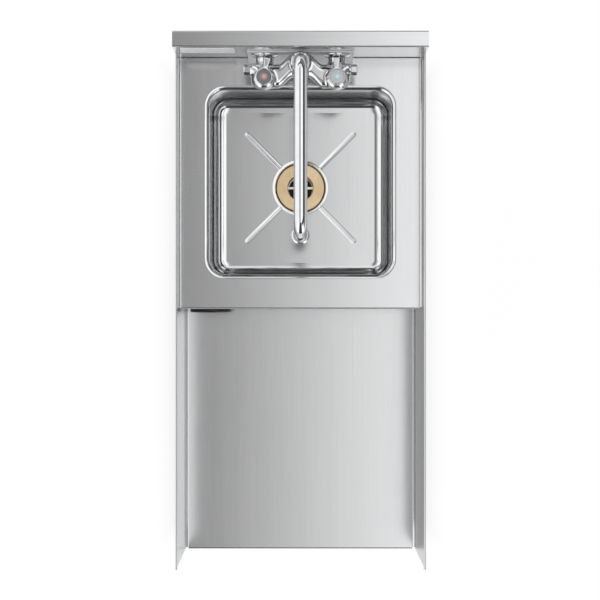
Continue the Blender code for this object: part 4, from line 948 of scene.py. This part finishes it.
def faucet_body_distance(place):
    """Distance to the casting.

    A bar with round edges, moved towards the wall between the valves by a smooth step in X, melts into two
    arms from the wall, two valve columns, the spout's boss and the plug bosses; bores are carved out. A rod
    is its start, its end, and its radius, edge round and fillet in millimetres.
    """
    out = np.abs(place[..., 0])
    ease = np.clip((out - 10.0 * MM) / (22.0 * MM), 0, 1)
    ease = ease * ease * (3 - 2 * ease)
    offset = BODY_CENTRE_OFFSET + (BODY_VALVE_OFFSET - BODY_CENTRE_OFFSET) * ease
    straight = np.stack((place[..., 0], place[..., 1] - FACE_Y + offset, place[..., 2] - BODY_Z), -1)
    body = round_box_distance(straight, (BODY_HALF_LENGTH, BODY_HALF_DEPTH, BODY_HALF_HEIGHT), BODY_CORNER)
    bore_foot = DECK_Z + 76.0 * MM
    bore_top = DECK_Z + 110.0 * MM
    rods = [((0, SWIVEL_Y, BODY_Z - 4.0 * MM), (0, SWIVEL_Y, DECK_Z + 97.0 * MM), 12.3, 0.6, 5.0)]
    bores = []
    for side in (-1, 1):
        x = side * INLET_X
        arm_end = (x, FACE_Y - BODY_VALVE_OFFSET, INLET_Z)
        boss_end = side * PLUG_SEAT
        rods += [
            ((x, FACE_Y - 7.4 * MM, INLET_Z), arm_end, 13.0, 0.8, 5.0),
            ((x, FACE_Y + 17.0 * MM, INLET_Z), arm_end, 10.4, 0.6, 0.5),
            ((x, HANDLE_Y, BODY_Z), (x, HANDLE_Y, DECK_Z + 93.0 * MM), 14.0, 0.8, 5.0),
            ((side * 58.0 * MM, PLUG_Y, BODY_Z), (boss_end, PLUG_Y, BODY_Z), 9.0, 0.6, 3.0),
        ]
        plug_foot = (boss_end - side * 9.3 * MM, PLUG_Y, BODY_Z)
        bores += [
            ((x, HANDLE_Y, bore_foot), (x, HANDLE_Y, bore_top), 9.0 * MM),
            ((x, FACE_Y - 13.0 * MM, INLET_Z), (x, FACE_Y + 30.0 * MM, INLET_Z), 6.2 * MM),
            (plug_foot, (boss_end + side * 9.0 * MM, PLUG_Y, BODY_Z), 6.1 * MM),
        ]
    bores.append(((0, SWIVEL_Y, bore_foot), (0, SWIVEL_Y, bore_top), SWIVEL_BORE))
    for start, end, radius, edge, fillet in rods:
        body = melted(body, rod_distance(place, start, end, radius * MM, edge * MM), fillet * MM)
    for start, end, radius in bores:
        body = carved(body, rod_distance(place, start, end, radius, 0.3 * MM), 0.5 * MM)
    return body


def lever_distance(place, axis_x, turn):
    """Distance to a handle: a hub with a lever that leaves it backwards, flat on top, narrow and then wider.

    The lever is what lies below its flat top, above its rising underside, between its two sides and short of
    its end, where a plane tilted backwards cuts its top off. The hub has wells for the button and the screw
    and a bore for the stem; each is a foot, a top, a radius and the round of its rim, in millimetres.
    """
    local_x = place[..., 0] - axis_x
    local_y = place[..., 1] - HANDLE_Y
    height = place[..., 2]
    across = local_x * math.cos(turn) + local_y * math.sin(turn)
    along = -local_x * math.sin(turn) + local_y * math.cos(turn)
    share = np.clip(along / LEVER_END, 0, 1)
    side = np.interp(share, (0, 0.5, 0.78, 1), mm(5.4, 3.4, 4.2, 4.3))
    top = HANDLE_BASE + 12.0 * MM
    bottom = HANDLE_BASE + 2.4 * MM + 5.6 * MM * share
    core = (top + bottom) / 2
    lever = trimmed(np.abs(across) - side, np.abs(height - core) - (top - core), 1.6 * MM)
    lever = trimmed(lever, along - LEVER_END, 1.2 * MM)
    lever = trimmed(lever, -along, 1.0 * MM)
    beyond = along - LEVER_SLANT_START
    slant = (height - top) * math.cos(LEVER_SLANT) + beyond * math.sin(LEVER_SLANT)
    lever = trimmed(lever, slant, 0.3 * MM)

    def upright(foot, top, radius, edge):
        start = (axis_x, HANDLE_Y, HANDLE_BASE + foot * MM)
        end = (axis_x, HANDLE_Y, HANDLE_BASE + top * MM)
        return rod_distance(place, start, end, radius * MM, edge * MM)

    shape = melted(upright(0, 12.2, 12.0, 1.3), lever, 3.2 * MM)
    wells = ((10.3, 20, 10.3, 0.5), (-8, 6.9, 4.4, 0.4), (8.4, 20, 3.9, 0.4))
    for foot, top, radius, rim in wells:
        shape = carved(shape, upright(foot, top, radius, 0.2), rim * MM)
    return shape


def make_faucet_body(chrome):
    low, high = box("faucet_body")
    shell = cast_surface(faucet_body_distance, low - 2 * MM, high + 2 * MM, CAST_STEP)
    piece("faucet_body", [shell], chrome, cast=True)


# Faucet: the valves

def make_inlet(word, x, chrome, brass):
    """The flange against the wall and the nut behind it, both round the inlet shank."""
    place = (x, FACE_Y, INLET_Z)
    hole = 10.8
    back = FACE_Y - box(word + "_wall_flange")[1][1]
    corners = outline((hole, 0), (20.0, 0), (20.0, 2.2), (15.0, 5.0), (hole, 5.0), base=back)
    turned_piece(word + "_wall_flange", corners, mm(0, 0.5, 1.1, 2.4, 0.3), place, chrome, "-Y")
    front = FACE_Y - box(word + "_shank_nut")[0][1]
    bore = outline((hole, -6.0), (hole, 0), base=front)
    outside = outline((17.3, 0), (17.3, -5.2), (16.3, -6.0), base=front)
    piece(word + "_shank_nut", [hexagon_nut(bore, outside, place, "-Y")], brass)


def make_plug(word, along, chrome):
    """The plug in the end of the casting: a round thread and a six-sided head."""
    place = (0, PLUG_Y, BODY_Z)
    thread = outline((0, -9.0), (5.0, -9.0), (5.8, -8.2), (5.8, 1.0), (0, 1.0), base=PLUG_SEAT)
    head = outline((0, 0.3), (7.6, 0.3), (7.6, 7.7), (6.6, 8.7), (0, 8.7), base=PLUG_SEAT)
    head = softened(head, mm(0, 0.3, 0.4, 0.3, 0), 4)
    piece(word + "_body_plug", [turned(thread, place, along), turned(head, place, along, 6)], chrome)


def make_bonnet(word, axis, chrome):
    corners = outline(
        (4.35, -11.3), (8.7, -11.3), (8.7, 0), (13.4, 0), (13.4, 6.0), (10.5, 8.6), (10.5, 13.2),
        (4.35, 13.2), base=BONNET_BASE,
    )
    turned_piece(word + "_bonnet", corners, mm(0.2, 0.3, 0, 0.4, 1.0, 1.2, 0.8, 0.2), axis, chrome)


def make_index_button(word, axis, finish):
    """A low button: a sloping rim, a shallow valley and a domed core, a quarter ellipse in profile."""
    low, high = box(word + "_index_button")
    radius = half_width(word + "_index_button")
    edge = high[2] - 0.9 * MM
    shoulder = edge + 0.45 * MM
    valley = shoulder - 0.2 * MM
    core = INDEX_CORE_RADIUS
    slope = [(radius, edge), (radius - 0.9 * MM, shoulder), (core + 0.5 * MM, shoulder)]
    slope = softened(slope, 0.5 * MM, 4)[1:]
    dome = arc((0, 0), 1.0, 0, 90) * (core, high[2] - shoulder + 0.2 * MM) + (0, valley)
    side = [(0, low[2]), (radius, low[2]), (radius, edge)]
    profile = np.vstack((side, slope, (core + 0.1 * MM, valley), dome))
    piece(word + "_index_button", [turned(profile, axis)], finish)


def make_valves(chrome, brass, inserts):
    """For each side: wall flange, shank nut, plug, bonnet, handle and index button."""
    for word, side, along, degrees in (("hot", -1, "-X", -11.0), ("cold", 1, "X", 2.0)):
        turn = math.radians(degrees)
        x = side * INLET_X
        axis = (x, HANDLE_Y, 0)
        make_inlet(word, x, chrome, brass)
        make_plug(word, along, chrome)
        make_bonnet(word, axis, chrome)
        low, high = box(word + "_handle")
        shell = cast_surface(lambda at: lever_distance(at, x, turn), low - MM, high + MM, LEVER_STEP)
        piece(word + "_handle", [shell], chrome, cast=True)
        make_index_button(word, axis, inserts[word])


# Faucet: the spout

SPOUT_RADIUS = 9.525 * MM
SPOUT_RUN_Z = DECK_Z + 136.0 * MM
SPOUT_REAR_BEND = 16.0 * MM
SPOUT_TIP_BEND = 28.0 * MM
SPOUT_TIP_DROP = 11.0 * MM
SPOUT_REACH = 241.6 * MM
COLLAR_RADIUS = 11.8 * MM
COLLAR_Z = DECK_Z + 97.3 * MM
COLLAR_HEIGHT = 2.0 * MM
SWIVEL_THREAD = 12.6 * MM


def make_spout(chrome):
    """The swing spout's tube with its collar, the nut that holds it and the aerator at its tip.

    The tube's line rises, turns forwards on a quarter circle, runs level and turns down on another.
    """
    turn = np.radians(np.linspace(0, 90, 21))
    rear_y = SWIVEL_Y - SPOUT_REAR_BEND * (1 - np.cos(turn))
    rear_z = SPOUT_RUN_Z - SPOUT_REAR_BEND + SPOUT_REAR_BEND * np.sin(turn)
    rear = np.stack((rear_y, rear_z), -1)
    tip_y = SWIVEL_Y - (SPOUT_REACH - SPOUT_TIP_BEND) - SPOUT_TIP_BEND * np.sin(turn)
    tip_z = SPOUT_RUN_Z - SPOUT_TIP_BEND + SPOUT_TIP_BEND * np.cos(turn)
    tip = np.stack((tip_y, tip_z), -1)
    tube_end = SPOUT_RUN_Z - SPOUT_TIP_BEND - SPOUT_TIP_DROP
    foot = (SWIVEL_Y, DECK_Z + 80.0 * MM)
    run = np.linspace(rear[-1], tip[0], 12)[1:-1]
    route = np.vstack((rear, run, tip, (SWIVEL_Y - SPOUT_REACH, tube_end)))
    heading = np.concatenate((turn, np.full(len(run), math.pi / 2), math.pi / 2 + turn, [math.pi]))
    collar_radius = (SPOUT_RADIUS, COLLAR_RADIUS, COLLAR_RADIUS, SPOUT_RADIUS)
    collar_z = COLLAR_Z + np.array((0, 0, COLLAR_HEIGHT, COLLAR_HEIGHT))
    collar = np.stack((np.full(4, SWIVEL_Y), collar_z), -1)
    radius = np.concatenate(([SPOUT_RADIUS], collar_radius, np.full(len(route), SPOUT_RADIUS)))
    outer = swept_circle(np.vstack((foot, collar, route)), np.concatenate((np.zeros(5), heading)), radius)
    inner = swept_circle(np.vstack((foot, route)), np.concatenate(([0], heading)), SPOUT_RADIUS - TUBE_WALL)
    rows = np.vstack((outer, inner[::-1]))
    piece("spout", [surface(rows, wrap_rows=True, wrap_columns=True)], chrome)

    low, high = box("spout_nut")
    bottom, top = low[2], high[2]
    outside = half_width("spout_nut")
    lip = COLLAR_Z + 2.3 * MM
    corners = [
        (SWIVEL_THREAD, bottom), (outside, bottom), (outside, bottom + 9.0 * MM),
        (outside - 1.6 * MM, top - 1.6 * MM), (outside - 3.4 * MM, top), (SWIVEL_BORE, top),
        (SWIVEL_BORE, lip), (SWIVEL_THREAD, lip),
    ]
    rounds = mm(0.3, 0.8, 1.0, 1.0, 0.8, 0.4, 0.2, 0)
    turned_piece("spout_nut", corners, rounds, (0, SWIVEL_Y, 0), chrome, steps=FINE_ROUND)

    low, high = box("aerator")
    bottom, top = low[2], high[2]
    outside = half_width("aerator")
    step = outside - 0.4 * MM
    mouth = 7.5 * MM
    seat = tube_end - GAP
    corners = [
        (mouth, bottom), (outside - 1.8 * MM, bottom), (step, bottom + 5.5 * MM), (step, bottom + 6.6 * MM),
        (outside, bottom + 7.2 * MM), (outside, top - 2.0 * MM), (outside - 2.0 * MM, top),
        (SWIVEL_BORE, top), (SWIVEL_BORE, seat), (mouth, seat),
    ]
    rounds = mm(0.6, 1.0, 0.3, 0.2, 0.4, 1.2, 0.9, 0.3, 0, 0)
    turned_piece("aerator", corners, rounds, (0, SWIVEL_Y - SPOUT_REACH, 0), chrome, steps=FINE_ROUND)


# Drain

def make_drain(brass, chrome, rubber):
    """The drain flange with the cross in its throat, gasket and locknut, and the tailpiece with its nut."""
    low, high = box("drain_flange")
    top = high[2]
    seat = top - DRAIN_FLANGE
    centre = (*middle("drain_flange")[:2], 0)
    outside = half_width("drain_flange")
    corners = [
        (DRAIN_THROAT, low[2]), (DRAIN_THREAD, low[2]), (DRAIN_THREAD, seat), (outside, seat),
        (outside, top - 0.9 * MM), (outside - 1.0 * MM, top), (19.9 * MM, top - 0.3 * MM),
        (DRAIN_THROAT, top - 2.6 * MM),
    ]
    profile = softened(corners, mm(0.3, 0.5, 0.4, 0.3, 0.5, 0.5, 0.6, 1.0), 6, closed=True)
    bar_top = top - 7.8 * MM
    bar_foot = bar_top - DRAIN_CROSS_HEIGHT
    half = DRAIN_CROSS_HALF
    bar = [(-half, bar_foot), (half, bar_foot), (half, bar_top), (-half, bar_top)]
    bar = softened(bar, mm(0.4, 0.4, 0.3, 0.3), 5, closed=True)
    shells = [
        turned(profile, centre, steps=FINE_ROUND, closed=True),
        prism(bar + (centre[1], 0), "X", -DRAIN_CROSS_REACH, DRAIN_CROSS_REACH),
        prism(bar, "Y", centre[1] - DRAIN_CROSS_REACH, centre[1] + DRAIN_CROSS_REACH),
    ]
    piece("drain_flange", shells, brass)

    low, high = box("drain_gasket")
    outside = half_width("drain_gasket")
    hole = DRAIN_THREAD_HOLE
    corners = [(hole, low[2]), (outside, low[2]), (outside, high[2]), (hole, high[2])]
    turned_piece("drain_gasket", corners, 0.5 * MM, centre, rubber, arcs=4)

    low, high = box("drain_locknut")
    bore = [(hole, low[2]), (hole, high[2])]
    radius = LOCKNUT_RADIUS
    outer = [(radius, high[2]), (radius, low[2] + 1.0 * MM), (radius - 1.2 * MM, low[2])]
    piece("drain_locknut", [hexagon_nut(bore, outer, centre, "Z")], brass)

    low, high = box("tailpiece")
    inner = TAILPIECE_RADIUS - TUBE_WALL
    flange_z = high[2] - TAILPIECE_FLANGE
    corners = [
        (inner, low[2]), (TAILPIECE_RADIUS, low[2]), (TAILPIECE_RADIUS, flange_z),
        (DRAIN_THREAD, flange_z), (DRAIN_THREAD, high[2]), (inner, high[2]),
    ]
    turned_piece("tailpiece", corners, mm(0.4, 0.4, 0.8, 0.6, 0.6, 0.5), centre, chrome, arcs=5)

    low, high = box("tailpiece_nut")
    bottom, top = low[2], high[2]
    lip = bottom + 4.8 * MM
    outside = half_width("tailpiece_nut")
    corners = [
        (TAILPIECE_HOLE, bottom), (outside - 3.0 * MM, bottom), (outside, bottom + 1.5 * MM),
        (outside, top), (hole, top), (hole, lip), (TAILPIECE_HOLE, lip),
    ]
    profile = softened(corners, mm(0.4, 1.0, 0.8, 0.8, 0.3, 0, 0), 5, closed=True)
    piece("tailpiece_nut", [ribbed_ring(profile, centre, outside - 1.2 * MM, 1.1 * MM, 12)], chrome)


# Stand

LEG_WALL = 1.5 * MM
SOCKET_SLEEVE = 3.6 * MM
SOCKET_PLAY = 0.35 * MM
SOCKET_PLATE = 3.0 * MM
BUSHING_BORE = 8.4 * MM
BUSHING_LIP = 3.4 * MM
BUSHING_PLAY = 1.8 * MM
FOOT_HEIGHT = 62.0 * MM
STEM_RADIUS = 7.4 * MM
THREAD_PITCH = 2.0 * MM
THREAD_DEPTH = 0.55 * MM


def make_channels(finish):
    """The two channels across the underside, bent from thicker sheet."""
    for node in ("front_leg_channel", "rear_leg_channel"):
        low, high = box(node)
        corners = [(high[1], low[2]), (high[1], high[2]), (low[1], high[2]), (low[1], low[2])]
        path = softened(corners, BEND_RADIUS, 6)
        piece(node, [prism(thick_line(path, -PLATE), "X", low[0], high[0])], finish)


def make_legs(steel, tube_steel, plastic):
    """For each corner: tube, socket with its set screw, threaded bushing and bullet foot."""
    for corner in ("front_left", "front_right", "rear_left", "rear_right"):
        low, high = box(corner + "_leg")
        bottom, top = low[2], high[2]
        x, y = (low[:2] + high[:2]) / 2
        axis = (x, y, 0)
        leg = half_width(corner + "_leg")
        inner = leg - LEG_WALL
        corners = [(inner, bottom), (leg, bottom), (leg, top), (inner, top)]
        turned_piece(corner + "_leg", corners, 0.3 * MM, axis, tube_steel, arcs=3)

        low, high = box(corner + "_leg_socket")
        bottom, top = low[2], high[2]
        flange = half_width(corner + "_leg_socket")
        sleeve = leg + SOCKET_SLEEVE
        plate = top - SOCKET_PLATE
        bore = leg + SOCKET_PLAY
        corners = [(0, plate), (bore, plate), (bore, bottom), (sleeve, bottom), (sleeve, plate)]
        corners += [(flange, plate), (flange, top), (0, top)]
        rounds = mm(0, 0.6, 0.5, 1.0, 2.2, 0.6, 0.6, 0)
        turned_piece(corner + "_leg_socket", corners, rounds, axis, steel, arcs=5, closed=False)

        place = (x, y, middle(corner + "_leg_set_screw")[2])
        start = leg + GAP
        head = sleeve + GAP
        corners = [(0, start), (3.0 * MM, start), (3.0 * MM, head), (5.4 * MM, head)]
        corners += outline((5.4, 4.0), (2.4, 4.0), (2.2, 1.6), (0, 1.3), base=head).tolist()
        rounds = mm(0, 0.4, 0, 0.4, 0.7, 0.2, 0.1, 0)
        along = "X" if x > 0 else "-X"
        turned_piece(corner + "_leg_set_screw", corners, rounds, place, steel, along, 4, 36, closed=False)

        low, high = box(corner + "_foot_bushing")
        bottom, top = low[2], high[2]
        lip = bottom + BUSHING_LIP
        inner = leg - BUSHING_PLAY
        bore = BUSHING_BORE
        corners = [(bore, bottom), (leg, bottom), (leg, lip), (inner, lip), (inner, top), (bore, top)]
        rounds = mm(0.4, 0.9, 0.4, 0.3, 0.8, 0.4)
        turned_piece(corner + "_foot_bushing", corners, rounds, axis, plastic, arcs=5)
        make_foot(corner + "_foot", axis, tube_steel)


def make_foot(node, axis, finish):
    """A bullet foot: toe, swelling body, wrench neck and a stem with rings of ridges for its thread."""
    low, high = box(node)
    outside = half_width(node)
    body = [
        (0, 0), mm(9.5, 0), mm(12.0, 2.5), mm(17.6, 24.0), (outside, 40.0 * MM), (outside, 52.0 * MM),
        mm(14.5, 52.0), mm(14.5, 60.0), mm(7.2, 60.0), (7.2 * MM, FOOT_HEIGHT),
    ]
    profile = softened(body, mm(0, 1.6, 3.0, 30.0, 12.0, 1.2, 0.6, 0.8, 0.3, 0), 6)
    height = np.arange(FOOT_HEIGHT, high[2] - THREAD_PITCH, THREAD_PITCH / 4)
    ridge = STEM_RADIUS + THREAD_DEPTH * np.abs(2 * np.mod(height / THREAD_PITCH, 1) - 1)
    thread = np.stack((ridge, height), -1)
    top = outline((7.0, -0.8), (6.2, 0), (0, 0), base=high[2])
    piece(node, [turned(np.vstack((profile + (0, low[2]), thread, top)), axis)], finish)


def make_rails(finish):
    """Front-to-back tubes whose ends are coped to the legs.

    Each end stands off the leg's axis by the root of the leg's radius squared less the tube point's
    distance from the rail's axis plane squared, so it lies on the leg all round.
    """
    for side in ("left", "right"):
        node = side + "_rail"
        low, high = box(node)
        x, _, z = middle(node)
        outer = (high[2] - low[2]) / 2
        front_y = middle("front_" + side + "_leg")[1]
        rear_y = middle("rear_" + side + "_leg")[1]
        leg = half_width("front_" + side + "_leg") + GAP
        angle = np.linspace(0, math.tau, ROUND, endpoint=False)
        rings = []
        for radius, (share_start, share_end) in ((outer, (0, 1)), (outer - TUBE_WALL, (1, 0))):
            off = np.sqrt(leg**2 - (radius * np.cos(angle)) ** 2)
            for share in np.linspace(share_start, share_end, 5):
                y = (front_y + off) * (1 - share) + (rear_y - off) * share
                rings.append(rays(radius, angle, (x, z), y, upright=True))
        piece(node, [surface(np.stack(rings), wrap_rows=True, wrap_columns=True)], finish)


# Studio

CAMERA_PLACE = (-0.0007, 0.0046, 3.812)
CAMERA_LENS = 126.72
CAMERA_SENSOR = 36.0
CAMERA_REACH = 100.0
FLOOR_HALF = 30.0
FLOOR_DROP = 0.2 * MM
FLOOR_GLOW = 1.04


def make_camera():
    """Straight down over the station, far off, as the photograph is taken."""
    data = bpy.data.cameras.new("overhead")
    data.lens = CAMERA_LENS
    data.sensor_width = CAMERA_SENSOR
    data.clip_end = CAMERA_REACH
    camera = bpy.data.objects.new("overhead", data)
    camera.location = CAMERA_PLACE
    bpy.context.scene.collection.objects.link(camera)
    bpy.context.scene.camera = camera


def make_floor():
    """A plain pale floor: white to the camera and in reflections, with some of its own shading left in.

    Under the station its colour is painted darker, a painted shadow that is darkest below the drain, and
    there its glow fades so its own shade shows too.
    """
    finish = Finish("pale_floor")
    tree = finish.tree
    tree.nodes.remove(tree.nodes["Principled BSDF"])
    speck = finish.grain(3.0, 3.0)
    glow = finish.node("ShaderNodeEmission", None, {"Color": (1, 1, 1, 1), "Strength": FLOOR_GLOW})
    path = tree.nodes.new("ShaderNodeLightPath")
    seen = Value(finish, path.outputs["Is Camera Ray"])
    for word in ("Is Glossy Ray", "Is Transmission Ray"):
        seen = seen.higher(Value(finish, path.outputs[word]))
    x, y, _ = finish.parts(finish.place())
    half_x, half_y = cad_box[1][:2]
    beside = (x * x).ease((half_x * 0.2) ** 2, (half_x * 1.5) ** 2)
    ahead = (y * y).ease((half_y * 0.55) ** 2, (half_y * 1.2) ** 2)
    clear = beside.higher(ahead)
    drain_x, drain_y = (float(part) for part in middle("drain_flange")[:2])
    from_drain = ((x - drain_x) ** 2.0 + (y - drain_y) ** 2.0) ** 0.5
    # painted shadow: the floor's colour is darkened under the station, darkest right below the drain, so that
    # the drain's throat looks dark
    painted_shadow = finish.blend(from_drain.ease(0.03, 0.20), grey(0.02), grey(0.16))
    colour = finish.blend(clear, painted_shadow, finish.blend(speck, grey(0.86), grey(0.89)))
    diffuse = finish.node("ShaderNodeBsdfDiffuse", None, {"Color": colour})
    mixed = finish.node("ShaderNodeMixShader", None, {0: seen * clear * 0.90, 1: diffuse, 2: glow})
    finish.feed(tree.nodes["Material Output"].inputs["Surface"], mixed)
    half = FLOOR_HALF
    corners = [(a, b, -FLOOR_DROP) for a, b in ((-half, -half), (half, -half), (half, half), (-half, half))]
    mesh = bpy.data.meshes.new("floor")
    mesh.from_pydata(corners, [], [[0, 1, 2, 3]])
    mesh.materials.append(finish.owner)
    floor = bpy.data.objects.new("floor", mesh)
    bpy.context.scene.collection.objects.link(floor)


def make_studio_light():
    """The studio as a world: one soft overhead light that brightens to the right, and lights and darker gaps
    between them lower down, that give polished metal its bright and dark lines.

    A direction is told by how far it leans out from overhead, as a tangent, and by the share of that lean to
    the right and to the rear. Each patch covers the light so far, and the patches before it, by its share.
    """
    world = bpy.data.worlds.new("studio")
    bpy.context.scene.world = world
    studio = Finish("studio", owner=world)
    x, y, z = studio.parts(studio.node("ShaderNodeTexCoord", output="Generated"))
    height = z.higher(0.02)
    level = (x * x + y * y) ** 0.5
    across = x / height
    out = level / height
    flat = level.higher(0.02)
    to_right = x / flat
    to_rear = y / flat
    right = to_right.ease(0.40, 0.65)
    rear = to_rear.ease(0.5, 0.8)
    well_rear = to_rear.ease(0.5, 0.85)
    well_front = to_rear.ease(-0.5, -0.85)
    straight_ahead = (to_right * to_right).ease(0.20, 0.08) * to_rear.ease(-0.5, -0.7)
    before_far = out.ease(1.9, 1.7)
    patches = (
        (well_rear * out.ease(0.40, 0.75), 1.1),
        (well_front * out.ease(0.72, 0.90), 0.9),
        (right.higher(rear) * out.ease(1.6, 1.9), 0.26),
        (across.ease(-0.15, -0.50), 1.32),
        (out.ease(0.84, 0.92) * before_far * right, 0.02),
        (rear * out.ease(1.05, 1.2) * before_far, 0.1),
        (well_front * out.ease(1.3, 2.0), 2.1),
        (straight_ahead * out.ease(0.70, 0.80), 0.065),
        (z.ease(0.0, -0.08), 0.9),
    )
    light = (across * 9.6 + 0.72).higher(0.24).lower(1.38)
    for share, strength in patches:
        light = light * (1 - share) + share * strength
    background = world.node_tree.nodes["Background"]
    studio.feed(background.inputs["Strength"], light)
    background.inputs["Color"].default_value = (1, 1, 1, 1)


def main():
    deck_steel = brushed_steel("deck_steel", "Y")
    bowl_steel = brushed_steel("bowl_steel", "Y", roughness=0.12)
    splash_steel = brushed_steel("splash_steel", "X")
    panel_steel = brushed_steel("panel_steel", "Y", tone=0.62, roughness=0.30)
    frame_steel = brushed_steel("frame_steel", "X", tone=0.62, roughness=0.26)
    # painted light: a lighter, less metallic copy of the sheet steel, painted bright to stand in for the
    # light that the upright plate reflects
    bracket_steel_painted_light = brushed_steel("bracket_steel_painted_light", "X", tone=0.90, roughness=0.42, metallic=0.15)
    tube_steel = brushed_steel("tube_steel", "Z", roughness=0.22, slot="leg_tube")
    chrome = polished_chrome()
    brass = satin_brass(tuple(middle("drain_flange")))
    aged = moulded("aged_brass", "aged_brass", (0.42, 0.31, 0.16), (0.52, 0.40, 0.22), 0.42, 500.0, 1.0)
    plastic = moulded("black_plastic", "black_plastic", (0.012, 0.012, 0.013), (0.02, 0.02, 0.021), 0.42)
    rubber = moulded("black_rubber", "rubber", grey(0.02), grey(0.04), 0.68, 500.0)
    white = moulded("white_enamel", "white_plate", grey(0.93), grey(0.98), 0.32, 700.0)
    inserts = {
        "hot": index_insert("hot_insert", -INLET_X, (0.36, 0.20, 0.20), (0.72, 0.50, 0.50),
                            (0.15, 0.15, 0.155), (0.20, 0.20, 0.205)),
        "cold": index_insert("cold_insert", INLET_X, (0.42, 0.62, 0.68), (0.85, 0.95, 1.0),
                             grey(0.52), grey(0.62)),
    }

    make_camera()
    make_floor()
    make_studio_light()

    make_deck(deck_steel)
    make_sink(bowl_steel)
    make_backsplash(splash_steel)
    make_side_panel("left_side_panel", -1, panel_steel)
    make_side_panel("right_side_panel", 1, panel_steel)
    make_riser(splash_steel, plastic)
    make_shelf(deck_steel)
    make_blank_plate(white)
    make_bracket(bracket_steel_painted_light)
    make_faucet_body(chrome)
    make_valves(chrome, aged, inserts)
    make_spout(chrome)
    make_drain(brass, chrome, rubber)
    make_channels(frame_steel)
    make_legs(frame_steel, tube_steel, plastic)
    make_rails(tube_steel)
    for word in ("hot", "cold"):
        carry_over(word + "_stem", aged)
        carry_over(word + "_handle_screw", chrome)

    bpy.context.scene.view_settings.view_transform = "Standard"


main()
